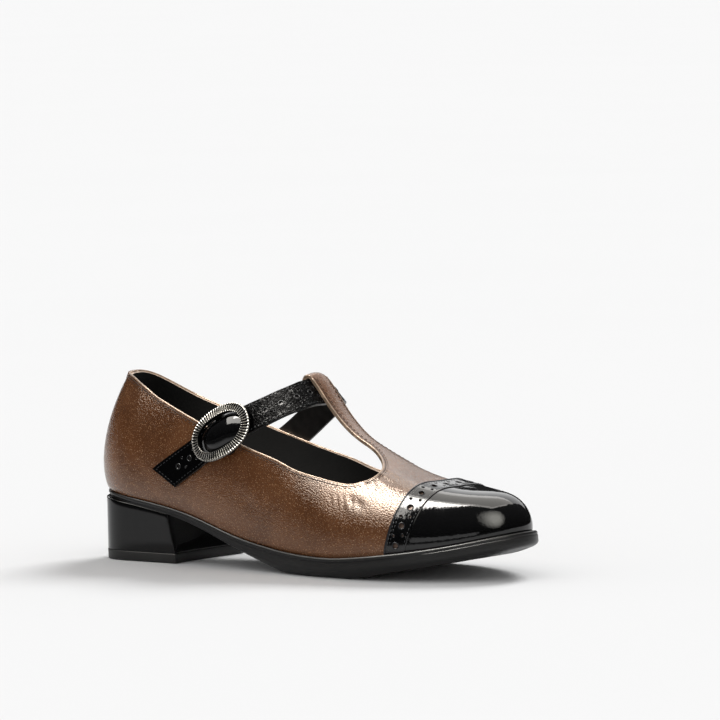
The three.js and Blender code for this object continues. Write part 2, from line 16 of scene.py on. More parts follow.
import bmesh
import bpy
import numpy as np
from mathutils import Matrix, Vector

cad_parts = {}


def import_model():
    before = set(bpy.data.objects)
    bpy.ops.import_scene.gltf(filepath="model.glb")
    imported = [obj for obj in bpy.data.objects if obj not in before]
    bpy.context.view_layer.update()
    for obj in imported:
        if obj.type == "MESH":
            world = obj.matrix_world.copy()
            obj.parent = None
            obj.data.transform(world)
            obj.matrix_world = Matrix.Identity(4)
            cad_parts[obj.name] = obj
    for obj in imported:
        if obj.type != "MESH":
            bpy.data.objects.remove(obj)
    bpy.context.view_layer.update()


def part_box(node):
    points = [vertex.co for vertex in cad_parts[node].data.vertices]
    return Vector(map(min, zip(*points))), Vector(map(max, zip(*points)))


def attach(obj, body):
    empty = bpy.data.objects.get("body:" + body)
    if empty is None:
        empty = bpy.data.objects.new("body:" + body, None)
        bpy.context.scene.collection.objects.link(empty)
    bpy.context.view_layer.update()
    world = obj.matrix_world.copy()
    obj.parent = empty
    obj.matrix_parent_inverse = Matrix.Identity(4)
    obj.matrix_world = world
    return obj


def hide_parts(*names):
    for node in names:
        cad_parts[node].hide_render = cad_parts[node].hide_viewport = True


LOG = logging.getLogger("shoe")
MM = 0.001
BODY = "root"
Array = np.ndarray
Place = Callable[[Array, Array], Array]
Spot = Callable[[Array, Array], tuple[Array, Array]]
Colour = tuple[float, float, float, float]
Socket = bpy.types.NodeSocket
Verts = Sequence[bmesh.types.BMVert]
Faces = list[bmesh.types.BMFace]
Lamp = bpy.types.AreaLight
Piece = bpy.types.Object
Node = bpy.types.Node
Pair = tuple[float, float]
Triple = Sequence[float]
Level = tuple[float, Callable[[float], float], float]


# --- the last
# the last's sections, each at a share of its length
LAST_SECTIONS = (
    (0.00, 0.64, 0.64, 1.00, 0.00, 1.260, 0.00, 1.20, 1.20, 4.0, 5.0),
    (0.12, 0.67, 0.65, 0.87, 0.00, 1.320, 0.00, 1.20, 1.20, 4.0, 5.0),
    (0.25, 0.70, 0.62, 0.65, 0.00, 1.420, 0.01, 1.05, 1.05, 4.0, 5.0),
    (0.40, 0.80, 0.58, 0.24, 0.00, 1.500, 0.03, 0.90, 0.90, 4.0, 4.8),
    (0.50, 0.90, 0.70, 0.08, 0.00, 1.330, 0.04, 0.88, 1.00, 3.0, 4.0),
    (0.55, 0.95, 0.78, 0.03, 0.00, 1.100, 0.05, 0.88, 1.25, 1.6, 3.5),
    (0.60, 0.99, 0.88, 0.00, 0.00, 0.920, 0.06, 0.88, 1.50, 0.8, 3.0),
    (0.67, 1.02, 0.98, 0.00, 0.00, 0.770, 0.07, 0.82, 1.70, 0.8, 2.5),
    (0.78, 0.97, 0.99, 0.00, 0.21, 0.530, 0.08, 0.68, 1.60, 0.9, 1.4),
    (0.89, 0.82, 0.86, 0.00, 0.53, 0.385, 0.08, 0.58, 0.75, 2.5, 0.6),
    (1.00, 0.64, 0.66, 0.00, 1.00, 0.315, 0.06, 0.54, 0.54, 4.0, 0.7),
)
# how far up its rib the topline lies on each side
TOPLINE = (
    (0.00, 0.512, 0.512),
    (0.05, 0.498, 0.430),
    (0.10, 0.460, 0.374),
    (0.16, 0.410, 0.342),
    (0.28, 0.354, 0.304),
    (0.42, 0.336, 0.300),
    (0.54, 0.366, 0.318),
    (0.63, 0.432, 0.390),
    (0.72, 0.480, 0.450),
)


class Side(Enum):
    """A side of the foot, with the sign of its Y axis."""

    OUTER = -1
    INNER = 1


class SmoothTable:
    """Smooth curves through the columns of a table, read at any place along its key."""

    def __init__(self, header: str, rows: Sequence[Sequence[float]], blur: float = 0.0) -> None:
        """Prepare a dense run of every column.

        Args:
            header: Column names, the key first.
            rows: One row of numbers for each key.
            blur: Width of the smoothing along the key, in the key's units.
        """
        names = header.split()
        values = np.array(rows, float)
        key = values[:, 0]
        self.keys = np.linspace(key[0], key[-1], 1201)
        self.columns = {n: self._dense(key, values[:, i + 1], blur) for i, n in enumerate(names[1:])}

    def _dense(self, key: Array, column: Array, blur: float) -> Array:
        """Return one column as a smooth dense run."""
        last = len(key) - 1
        ahead = np.minimum(np.arange(last + 1) + 1, last)
        behind = np.maximum(np.arange(last + 1) - 1, 0)
        slopes = (column[ahead] - column[behind]) / (key[ahead] - key[behind])
        i = np.clip(np.searchsorted(key, self.keys, side="right") - 1, 0, last - 1)
        width = key[i + 1] - key[i]
        t = (self.keys - key[i]) / width
        run = (1 + 2 * t) * (1 - t) ** 2 * column[i] + t * t * (3 - 2 * t) * column[i + 1]
        run = run + width * t * (1 - t) * ((1 - t) * slopes[i] - t * slopes[i + 1])
        return blurred(run, blur / (self.keys[1] - self.keys[0])) if blur > 0 else run

    def at(self, column: str, key: Array | float) -> Array:
        """Return a column's value at each key."""
        return np.interp(key, self.keys, self.columns[column])


def blurred(run: Array, width: float) -> Array:
    """Smooth a run with a Gaussian.

    Args:
        run: Evenly spaced values.
        width: Standard deviation, in steps.

    Returns:
        The smoothed run, with its straight ends kept.
    """
    reach = min(int(4 * width) + 1, len(run) - 1)
    kernel = np.exp(-0.5 * (np.arange(-reach, reach + 1) / width) ** 2)
    padded = np.pad(run, reach, mode="reflect", reflect_type="odd")
    return np.convolve(padded, kernel / kernel.sum(), mode="valid")


def smoothstep(low: float, high: float, value: Array) -> Array:
    """Return 0 below low, 1 above high, and a smooth rise between them."""
    t = np.clip((np.asarray(value, float) - low) / (high - low), 0, 1)
    return t * t * (3 - 2 * t)


def rounded(distance: Array, length: float, power: float) -> Array:
    """Return 0 at the start of a rounded end and 1 where the outline has its full width."""
    t = np.clip(1 - distance / length, 0, 1)
    return (1 - t**power) ** (1 / power)


def unit(vectors: Array) -> Array:
    """Return vectors of length 1."""
    length = np.linalg.norm(vectors, axis=-1, keepdims=True)
    return vectors / np.where(length < 1e-12, 1, length)


def between(at: Array, keys: Array, rows: Array) -> Array:
    """Return a table's rows, read between its keys."""
    return np.stack([np.interp(at, keys, rows[:, k]) for k in range(rows.shape[1])], axis=-1)


def steady(*vector: float) -> Place:
    """Return a direction that is the same everywhere."""
    return lambda u, v: np.tile(vector, (len(u), 1))


@dataclass(frozen=True)
class Crease:
    """A soft crease in the leather, placed between two spots on the last."""

    side: Side
    start: Pair
    end: Pair
    width: float
    depth: float


@dataclass
class Last:
    """The last's surface: station -1 to 0 is the outer side from toe to heel, and 0 to 1 the inner one."""

    length: float = 239.0
    ball_half_width: float = 40.0
    seat_height: float = 33.5
    ball_height: float = 9.4
    toe_spring: float = 12.8
    instep_height: float = 62.0
    heel_round: float = 30.0
    toe_round: float = 62.0
    ridge_start: float = 32.0
    ridge_setback: float = 32.0
    end_power: float = 2.2
    outer_fall: float = 4.0
    lean: float = 2.2
    lean_from: Pair = (46.0, 94.0)
    lean_until: Pair = (4.0, 42.0)
    crowding: float = 1.1
    ridge_blur: float = 3.6
    ridge_reach: Pair = (6.0, 20.0)
    shift: Vector = field(default_factory=Vector)
    stations: int = 360
    ribs: int = 240

    def __post_init__(self) -> None:
        """Read the section table and lay out the dense surface."""
        self.sections = SmoothTable(
            "at outer inner seat spring crown ridge outer_round inner_round inner_fall bulge",
            LAST_SECTIONS,
            blur=0.014,
        )
        self.topline = SmoothTable("at OUTER INNER", TOPLINE, blur=0.006)
        phi = np.linspace(0, 1, self.stations + 1)
        up = np.linspace(0, 1, self.ribs // 2 + 1)
        turn = self._turn(phi)
        outer = self._raw(-turn[:, None], up[None, :])
        inner = self._raw(turn[:, None], up[None, ::-1])
        table = np.concatenate([outer, inner[:, 1:]], axis=1)
        table = self._ridge_softened(table, self.share(phi))
        mirrored = table[:, ::-1]
        padded = np.concatenate([mirrored[2:0:-1], table, mirrored[-2:-4:-1]], axis=0)
        before = 2 * padded[:, :1] - padded[:, 1:3][:, ::-1]
        after = 2 * padded[:, -1:] - padded[:, -3:-1][:, ::-1]
        self._table = np.concatenate([before, padded, after], axis=1)

    def _turn(self, phi: Array) -> Array:
        """Return the angle of each station, 0 at the heel and pi at the toe, with even steps round both ends."""
        near, far = phi**self.crowding, (1 - phi) ** self.crowding
        return math.pi * near / (near + far)

    def share(self, phi: Array) -> Array:
        """Return the share of the last's length at each station."""
        return (1 - np.cos(self._turn(np.abs(phi)))) / 2

    def station(self, share: Array | float) -> Array:
        """Return the station at each share of the last's length."""
        ratio = np.clip(np.arccos(1 - 2 * np.clip(share, 0, 1)) / math.pi, 0, 1)
        near, far = ratio ** (1 / self.crowding), (1 - ratio) ** (1 / self.crowding)
        return near / (near + far)

    def column(self, name: str, x: Array) -> Array:
        """Return a section column at places in millimetres."""
        return self.sections.at(name, np.asarray(x) / self.length)

    def seam_height(self, x: Array) -> Array:
        """Return the feather line's height over the floor."""
        rise = self.seat_height - self.ball_height
        return self.ball_height + rise * self.column("seat", x) + self.toe_spring * self.column("spring", x)

    def _feather(self, angle: Array) -> Array:
        """Return points on the feather line."""
        x = self.length * (1 - np.cos(angle)) / 2
        half = np.where(np.sin(angle) < 0, self.column("outer", x), self.column("inner", x))
        ends = rounded(x, self.heel_round, self.end_power) * rounded(self.length - x, self.toe_round, self.end_power)
        y = np.sign(np.sin(angle)) * self.ball_half_width * half * ends
        return np.stack([x, y, self.seam_height(x)], axis=-1)

    def _ridge_x(self, angle: Array) -> Array:
        """Return how far forward the top line is for each angle."""
        span = self.length - self.ridge_setback - self.ridge_start
        return self.ridge_start + span * (1 - np.cos(angle)) / 2

    def _ridge_height(self, x: Array) -> Array:
        """Return the top line's height."""
        return self.seam_height(x) + self.instep_height * self.column("crown", x)

    def _raw(self, angle: Array, up: Array) -> Array:
        """Return points on the last's plain surface, by angle and by place up the rib."""
        angle, up = np.broadcast_arrays(angle, up)
        feather = self._feather(angle)
        run = self._feather(angle + 0.01) - self._feather(angle - 0.01)
        level = unit(np.stack([-run[..., 1], run[..., 0], np.zeros_like(up)], axis=-1))
        ridge_x = self._ridge_x(angle)
        ridge_y = self.ball_half_width * self.column("ridge", ridge_x)
        ridge_z = self._ridge_height(ridge_x)
        outer = np.sin(angle) < 0
        x0 = feather[..., 0]
        power = np.where(outer, self.column("outer_round", x0), self.column("inner_round", x0))
        inward = 1 - np.clip(np.cos(up * math.pi / 2), 0, 1) ** power
        swell = self.column("bulge", x0) * np.sin(math.pi * np.sqrt(up)) * (1 - up**4)
        x = x0 + (ridge_x - x0) * inward + level[..., 0] * swell
        y = feather[..., 1] + (ridge_y - feather[..., 1]) * inward + level[..., 1] * swell
        slope = (self._ridge_height(ridge_x + 2) - self._ridge_height(ridge_x - 2)) / 4
        fall = np.where(outer, self.outer_fall, self.column("inner_fall", x0))
        top = ridge_z + slope * (x - ridge_x) * up**fall
        z = feather[..., 2] + (top - feather[..., 2]) * np.sin(up * math.pi / 2)
        return np.stack([x, y, z], axis=-1)

    def _ridge_softened(self, table: Array, shares: Array) -> Array:
        """Round off the crease along the top line, where the two sides meet."""
        step = 0.25
        middle = table.shape[1] // 2
        strength = smoothstep(0.40, 0.50, shares) * (1 - smoothstep(0.88, 0.96, shares))
        softened = table.copy()
        for i in np.nonzero(strength > 0)[0]:
            curve = table[i]
            arc = np.concatenate([[0], np.cumsum(np.linalg.norm(np.diff(curve, axis=0), axis=1))])
            even = np.arange(0, arc[-1], step)
            for axis in range(3):
                run = np.interp(even, arc, curve[:, axis])
                smooth = np.interp(arc, even, blurred(run, self.ridge_blur / step))
                share = strength[i] * (1 - smoothstep(*self.ridge_reach, np.abs(arc - arc[middle])))
                softened[i, :, axis] = curve[:, axis] + share * (smooth - curve[:, axis])
        return softened

    def _locate(self, station: Array, up: Array) -> tuple[Array, Array]:
        """Return table coordinates for signed stations and places up the rib."""
        rib = np.where(station < 0, up, 2 - up) * self.ribs / 2
        return np.abs(station) * self.stations + 2, rib + 2

    def _read(self, station: Array, up: Array) -> tuple[Array, Array, Array]:
        """Return the points and both tangents, by a cubic through the dense surface."""
        row, col = self._locate(station, up)
        i = np.clip(np.floor(row).astype(int), 1, self._table.shape[0] - 3)
        j = np.clip(np.floor(col).astype(int), 1, self._table.shape[1] - 3)
        s, t = row - i, col - j
        point = np.zeros(s.shape + (3,))
        along = np.zeros_like(point)
        rise = np.zeros_like(point)
        for a, (sa, da) in enumerate(zip(cubic(s), cubic_slope(s))):
            for b, (tb, db) in enumerate(zip(cubic(t), cubic_slope(t))):
                corner = self._table[i + a - 1, j + b - 1]
                point += (sa * tb)[..., None] * corner
                along += (da * tb)[..., None] * corner
                rise += (sa * db)[..., None] * corner
        return point, along, rise

    def skin(self, station: Array, up: Array, lift: Array | float = 0.0) -> Array:
        """Return points on the last, or off it by a lift.

        Args:
            station: Signed station, below 0 on the outer side.
            up: Place up the rib, from 0 at the feather line to 1 at the top line.
            lift: Distance out of the surface, in millimetres.

        Returns:
            Points in the last's millimetres, one for each input.
        """
        station, up = np.broadcast_arrays(np.asarray(station, float), np.asarray(up, float))
        point = self._read(station, up)[0].copy()
        high = smoothstep(*self.lean_from, point[..., 2])
        point[..., 0] += self.lean * high * (1 - smoothstep(*self.lean_until, point[..., 0]))
        return point + np.asarray(lift)[..., None] * self.outward(station, up)

    def outward(self, station: Array, up: Array) -> Array:
        """Return unit vectors out of the surface, level at the feather line."""
        station, up = np.broadcast_arrays(np.asarray(station, float), np.asarray(up, float))
        _, along, rise = self._read(station, up)
        normal = unit(np.cross(along, rise))
        base = self._read(station, np.zeros_like(up))[1]
        level = unit(np.stack([base[..., 1], -base[..., 0], np.zeros_like(up)], axis=-1))
        level = np.where((station >= 0)[..., None], -level, level)
        share = smoothstep(0, 0.12, up)[..., None]
        return unit(level * (1 - share) + normal * share)

    def seam(self, station: Array, out: Array | float = 0.0) -> Array:
        """Return points of the feather line, moved out level by a distance."""
        up = np.zeros_like(np.asarray(station, float))
        return self.skin(station, up, out)

    def rim(self, station: Array, side: Side) -> Array:
        """Return how far up its rib the topline lies."""
        return self.topline.at(side.name, self.share(station))

    def row(self, points: Array) -> Array:
        """Return points in the row frame, in metres."""
        return points * MM + np.array(self.shift)


def cubic(t: Array) -> tuple[Array, Array, Array, Array]:
    """Return the four weights of a smooth cubic."""
    return (
        ((-0.5 * t + 1.0) * t - 0.5) * t,
        (1.5 * t - 2.5) * t * t + 1.0,
        ((-1.5 * t + 2.0) * t + 0.5) * t,
        (0.5 * t - 0.5) * t * t,
    )


def cubic_slope(t: Array) -> tuple[Array, Array, Array, Array]:
    """Return the slopes of the cubic's weights."""
    return (
        (-1.5 * t + 2.0) * t - 0.5,
        (4.5 * t - 5.0) * t,
        (-4.5 * t + 4.0) * t + 0.5,
        (1.5 * t - 1.0) * t,
    )


# --- finishes


class Nodes:
    """A node tree under construction."""

    def __init__(self, tree: bpy.types.NodeTree) -> None:
        """Start from an empty tree."""
        self.tree = tree
        tree.nodes.clear()

    def feed(self, socket: bpy.types.NodeSocket, value: object) -> None:
        """Set a socket, or link it to the output that feeds it."""
        if isinstance(value, bpy.types.NodeSocket):
            self.tree.links.new(value, socket)
        else:
            socket.default_value = value

    def add(self, kind: str, inputs: dict[str, object] | None = None, **settings: object) -> Node:
        """Add a node.

        Args:
            kind: The node's type name.
            inputs: Input name to a value, or to the output socket that feeds it.
            settings: The node's own settings.

        Returns:
            The new node.
        """
        node = self.tree.nodes.new(kind)
        for name, value in settings.items():
            setattr(node, name, value)
        for name, value in (inputs or {}).items():
            self.feed(node.inputs[int(name)] if name.isdigit() else node.inputs[name], value)
        return node

    def cells(self, place: Socket, scale: float, randomness: float = 1.0) -> Socket:
        """Return the distance to the middle of the nearest cell."""
        inputs = {"Vector": place, "Scale": scale, "Randomness": randomness}
        return self.add("ShaderNodeTexVoronoi", inputs, feature="F1").outputs["Distance"]

    def noise(self, place: Socket, scale: float, detail: float = 3.0, warp: float = 0.0) -> Socket:
        """Return a noise pattern's height."""
        inputs = {"Vector": place, "Scale": scale, "Detail": detail, "Distortion": warp}
        return self.add("ShaderNodeTexNoise", inputs).outputs["Fac"]

    def ramp(self, value: Socket, low: float, high: float, to: Pair = (0.0, 1.0)) -> Socket:
        """Return a value that is spread from one range to another."""
        inputs = {"Value": value, "From Min": low, "From Max": high, "To Min": to[0], "To Max": to[1]}
        return self.add("ShaderNodeMapRange", inputs, clamp=True).outputs["Result"]

    def blend(self, share: Socket, a: object, b: object) -> Socket:
        """Return a mix of two colours."""
        node = self.add("ShaderNodeMix", data_type="RGBA")
        for socket, value in ((node.inputs[0], share), (node.inputs[6], a), (node.inputs[7], b)):
            self.feed(socket, value)
        return node.outputs[2]

    def math(self, operation: str, a: object, b: object) -> Socket:
        """Return the result of one sum."""
        return self.add("ShaderNodeMath", {"0": a, "1": b}, operation=operation).outputs[0]

    def bump(self, height: Socket, strength: float, distance: float, under: Socket | None = None) -> Socket:
        """Return a normal that follows a height."""
        inputs: dict[str, object] = {"Height": height, "Strength": strength, "Distance": distance}
        if under is not None:
            inputs["Normal"] = under
        return self.add("ShaderNodeBump", inputs).outputs["Normal"]


def rgba(red: float, green: float, blue: float) -> Colour:
    """Return an opaque colour."""
    return (red, green, blue, 1.0)


def grey(level: float) -> Colour:
    """Return an opaque grey."""
    return rgba(level, level, level)


def scaled(colour: Colour, factor: float) -> Colour:
    """Return a lighter or darker shade of a colour."""
    return rgba(*(factor * c for c in colour[:3]))


@dataclass(frozen=True)
class Finish:
    """A finish that its own node tree describes."""

    name: str

    @cache
    def material(self) -> bpy.types.Material:
        """Make the material, once."""
        material = bpy.data.materials.new(self.name)
        material.use_nodes = True
        nodes = Nodes(material.node_tree)
        place = nodes.add("ShaderNodeTexCoord").outputs["Object"]
        shader = nodes.add("ShaderNodeBsdfPrincipled")
        self.dress(nodes, place, shader)
        nodes.add("ShaderNodeOutputMaterial", {"Surface": shader.outputs[0]})
        return material

    def dress(self, nodes: Nodes, place: Socket, shader: Node) -> None:
        """Set the shader's inputs."""
        raise NotImplementedError


def link(nodes: Nodes, shader: Node, **inputs: object) -> None:
    """Set or link a shader's inputs.

    Args:
        nodes: The tree that the shader is in.
        shader: The shader.
        inputs: Input name, with underscores for spaces, to its value or to the output that feeds it.
    """
    for name, value in inputs.items():
        nodes.feed(shader.inputs[name.replace("_", " ")], value)


@dataclass(frozen=True)
class PearlLeather(Finish):
    """Brown leather with a pearly lacquer over a fine pebble grain, and painted copper glints on the pebble tops."""

    deep: Colour = rgba(0.112, 0.041, 0.0145)
    warm: Colour = rgba(0.154, 0.060, 0.0225)
    # painted highlight: the colour of the copper glints painted on the pebble tops
    painted_glint_colour: Colour = rgba(0.85, 0.47, 0.24)
    grain: float = 0.38
    painted_glint_share: float = 0.8

    def dress(self, nodes: Nodes, place: Socket, shader: Node) -> None:
        """Set the grain, the copper tone with painted copper glints on the pebble tops, and the lacquer."""
        bent = nodes.noise(place, 300.0, 2.0)
        cells = nodes.cells(place, 1450.0)
        fine = nodes.noise(place, 3000.0, 2.0)
        drift = nodes.noise(place, 40.0, 3.0, 0.6)
        pebble = nodes.ramp(cells, 0.1, 0.85, (1.0, 0.0))
        height = nodes.math("ADD", pebble, nodes.math("MULTIPLY", fine, 0.35))
        height = nodes.math("ADD", height, nodes.math("MULTIPLY", bent, 0.3))
        tone = nodes.blend(nodes.ramp(drift, 0.4, 0.6), self.deep, self.warm)
        # painted highlight: bright copper dots on the pebble tops, mixed into the base colour
        painted_glint = nodes.math("MULTIPLY", nodes.ramp(cells, 0.16, 0.36, (1.0, 0.0)), nodes.ramp(fine, 0.49, 0.6))
        colour = nodes.blend(nodes.math("MULTIPLY", painted_glint, self.painted_glint_share), tone, self.painted_glint_colour)
        normal = nodes.bump(height, self.grain, 0.00026)
        soft = nodes.ramp(nodes.noise(place, 90.0, 2.0), 0.3, 0.7, (0.11, 0.16))
        link(nodes, shader, Base_Color=colour, Roughness=soft, Normal=normal)
        link(nodes, shader, Metallic=0.1, IOR=1.64, Specular_Tint=rgba(1.0, 0.95, 0.86))


@dataclass(frozen=True)
class PatentLeather(Finish):
    """Black lacquered leather, from smooth to crinkled."""

    crinkle: float = 0.0
    ripple: float = 0.05
    gloss: float = 0.5
    calm: Pair = (-0.05, 0.0)
    colour: Colour = rgba(0.0022, 0.0022, 0.0024)

    def dress(self, nodes: Nodes, place: Socket, shader: Node) -> None:
        """Set the lacquer and its waves."""
        wave = nodes.noise(place, 640.0, 2.0, 0.4)
        normal = nodes.bump(wave, self.ripple, 0.0004)
        if self.crinkle > 0:
            fold = nodes.add(
                "ShaderNodeTexVoronoi",
                {"Vector": place, "Scale": 900.0, "Smoothness": 0.3},
                feature="SMOOTH_F1",
            ).outputs["Distance"]
            warped = nodes.noise(place, 900.0, 3.0, 1.4)
            height = nodes.math("ADD", nodes.math("MULTIPLY", fold, 0.7), warped)
            along = nodes.add("ShaderNodeSeparateXYZ", {"Vector": place}).outputs["X"]
            height = nodes.math("MULTIPLY", height, nodes.ramp(along, *self.calm))
            normal = nodes.bump(height, self.crinkle, 0.0009, normal)
        smear = nodes.ramp(nodes.noise(place, 130.0, 3.0), 0.3, 0.7, (0.035, 0.07))
        link(nodes, shader, Base_Color=self.colour, Roughness=smear, Normal=normal)
        link(nodes, shader, IOR=1.5, Specular_IOR_Level=self.gloss)
        if self.crinkle > 0:
            line = nodes.math("ABSOLUTE", nodes.math("SUBTRACT", nodes.noise(place, 520.0, 2.0, 1.2), 0.5), 0.0)
            patch = nodes.ramp(nodes.noise(place, 330.0, 2.0), 0.49, 0.6)
            fleck = nodes.math("MULTIPLY", nodes.ramp(line, 0.005, 0.014, (1.0, 0.0)), patch)
            fleck = nodes.math("MULTIPLY", fleck, nodes.ramp(along, *self.calm, (0.25, 1.0)))
            link(nodes, shader, Specular_IOR_Level=nodes.ramp(fleck, 0.0, 1.0, (self.gloss, 0.6)))


@dataclass(frozen=True)
class SatinRubber(Finish):
    """Moulded black rubber with a satin face."""

    rough: float = 0.38
    tone: float = 0.0065

    def dress(self, nodes: Nodes, place: Socket, shader: Node) -> None:
        """Set the satin face and its faint mottle."""
        speck = nodes.noise(place, 1500.0, 3.0)
        cloud = nodes.noise(place, 60.0, 3.0)
        colour = nodes.blend(nodes.ramp(cloud, 0.3, 0.7), grey(0.75 * self.tone), grey(1.3 * self.tone))
        soft = nodes.ramp(cloud, 0.3, 0.7, (self.rough - 0.05, self.rough + 0.05))
        link(nodes, shader, Base_Color=colour, Roughness=soft, Normal=nodes.bump(speck, 0.12, 0.0001))
        link(nodes, shader, Specular_IOR_Level=0.34)


@dataclass(frozen=True)
class GlossHeel(Finish):
    """Heel cover of smooth lacquered black."""

    def dress(self, nodes: Nodes, place: Socket, shader: Node) -> None:
        """Set the gloss and a slow wave in it."""
        wave = nodes.noise(place, 55.0, 2.0, 0.3)
        smear = nodes.ramp(nodes.noise(place, 200.0, 3.0), 0.3, 0.7, (0.05, 0.10))
        link(nodes, shader, Base_Color=rgba(0.0024, 0.0024, 0.0026), Roughness=smear)
        link(nodes, shader, Normal=nodes.bump(wave, 0.12, 0.0012), IOR=1.5, Specular_IOR_Level=0.28)


@dataclass(frozen=True)
class LiningCloth(Finish):
    """Dark lining with a fine weave."""

    colour: Colour = rgba(0.0045, 0.0043, 0.0040)

    def dress(self, nodes: Nodes, place: Socket, shader: Node) -> None:
        """Set the weave and its matt face."""
        weave = nodes.cells(place, 1500.0, 0.25)
        cloud = nodes.ramp(nodes.noise(place, 70.0, 3.0), 0.3, 0.7)
        colour = nodes.blend(cloud, self.colour, scaled(self.colour, 1.9))
        link(nodes, shader, Base_Color=colour, Normal=nodes.bump(weave, 0.35, 0.0002))
        link(nodes, shader, Roughness=0.78, Sheen_Weight=0.04, Specular_IOR_Level=0.15)


@dataclass(frozen=True)
class OldSilver(Finish):
    """Antique silver, bright on its ridges and dark in its grooves, with painted light on its top and painted shade
    underneath and on its inner wall.
    """

    bright: Colour = rgba(0.50, 0.485, 0.45)
    dark: Colour = rgba(0.012, 0.0115, 0.011)

    def dress(self, nodes: Nodes, place: Socket, shader: Node) -> None:
        """Set the tarnish, and the painted light and shade, from the brightness that the mesh carries."""
        # the mesh's height value is how bright each point is painted: tarnish in the grooves, painted light on top,
        # painted shade underneath and on the inner wall
        depth = nodes.add("ShaderNodeAttribute", attribute_name="height").outputs["Fac"]
        worn = nodes.noise(place, 700.0, 3.0)
        share = nodes.ramp(nodes.math("ADD", depth, nodes.math("MULTIPLY", worn, 0.3)), 0.78, 1.36)
        soft = nodes.ramp(worn, 0.3, 0.7, (0.24, 0.38))
        colour = nodes.blend(share, self.dark, self.bright)
        link(nodes, shader, Base_Color=colour, Roughness=soft, Metallic=1.0)
        link(nodes, shader, Normal=nodes.bump(worn, 0.15, 0.0002))


@dataclass(frozen=True)
class Thread(Finish):
    """Sewing thread with its twist."""

    colour: Colour = rgba(0.02, 0.02, 0.022)
    rough: float = 0.5
    gloss: float = 0.12

    def dress(self, nodes: Nodes, place: Socket, shader: Node) -> None:
        """Set the colour and the twist."""
        twist = nodes.noise(place, 3500.0, 2.0)
        colour = nodes.blend(nodes.ramp(twist, 0.4, 0.6), scaled(self.colour, 0.6), self.colour)
        link(nodes, shader, Base_Color=colour, Roughness=self.rough, Specular_IOR_Level=self.gloss)
        link(nodes, shader, Normal=nodes.bump(twist, 0.4, 0.0001))


@dataclass(frozen=True)
class FoldedEdge(Finish):
    """The turned leather along an edge, lighter where it is stretched."""

    colour: Colour = rgba(0.50, 0.35, 0.24)

    def dress(self, nodes: Nodes, place: Socket, shader: Node) -> None:
        """Set the stretched tone."""
        drift = nodes.noise(place, 260.0, 3.0)
        colour = nodes.blend(nodes.ramp(drift, 0.35, 0.65), scaled(self.colour, 0.5), self.colour)
        link(nodes, shader, Base_Color=colour, Metallic=0.2, Roughness=0.34)
        link(nodes, shader, Normal=nodes.bump(nodes.noise(place, 1600.0, 2.0), 0.2, 0.0002))


@dataclass(frozen=True)
class Finishes:
    """The shoe's finishes."""

    pearl: Finish = PearlLeather("pearl_leather")
    cap: Finish = PatentLeather("cap_patent", ripple=0.07)
    band: Finish = PatentLeather("band_patent", ripple=0.10)
    strap: Finish = PatentLeather("strap_patent", crinkle=0.4, ripple=0.04, gloss=0.02)
    rubber: Finish = SatinRubber("sole_rubber")
    tip: Finish = SatinRubber("top_piece_rubber", rough=0.5)
    heel: Finish = GlossHeel("heel_lacquer")
    lining: Finish = LiningCloth("black_lining")
    silver: Finish = OldSilver("old_silver")
    # brown thread, also used for the dark line painted as shade beside the turned edge
    brown_thread_and_painted_shade: Finish = Thread("brown_thread_and_painted_shade", colour=rgba(0.05, 0.026, 0.015))
    black_thread: Finish = Thread("black_thread", colour=rgba(0.036, 0.039, 0.043), rough=0.38, gloss=0.25)
    edge: Finish = FoldedEdge("folded_edge")
    under: Finish = FoldedEdge("under_leather", colour=rgba(0.16, 0.095, 0.065))
    rim: Finish = PatentLeather("hole_rim_patent", ripple=0.02, gloss=0.22, colour=rgba(0.022, 0.022, 0.024))
    dome: Finish = PatentLeather("bulge_patent", ripple=0.06)
    paint: Finish = SatinRubber("edge_paint", rough=0.3, tone=0.028)
    backing: Finish = FoldedEdge("strap_backing_leather", colour=rgba(0.03, 0.027, 0.026))


# --- modelling


def added(name: str, data: bpy.types.ID) -> Piece:
    """Add an object to the scene."""
    made = bpy.data.objects.new(name, data)
    bpy.context.scene.collection.objects.link(made)
    return made


def shade(mesh: bpy.types.Mesh, crisp: float) -> None:
    """Smooth a mesh's faces, apart from edges above an angle in degrees."""
    mesh.polygons.foreach_set("use_smooth", [True] * len(mesh.polygons))
    mesh.set_sharp_from_angle(angle=math.radians(crisp))


def faces_of(verts: Verts) -> Faces:
    """Return the faces round some points."""
    return list({face for vert in verts for face in vert.link_faces})


def edges_of(verts: Verts) -> list[bmesh.types.BMEdge]:
    """Return the edges at some points."""
    return list({edge for vert in verts for edge in vert.link_edges})


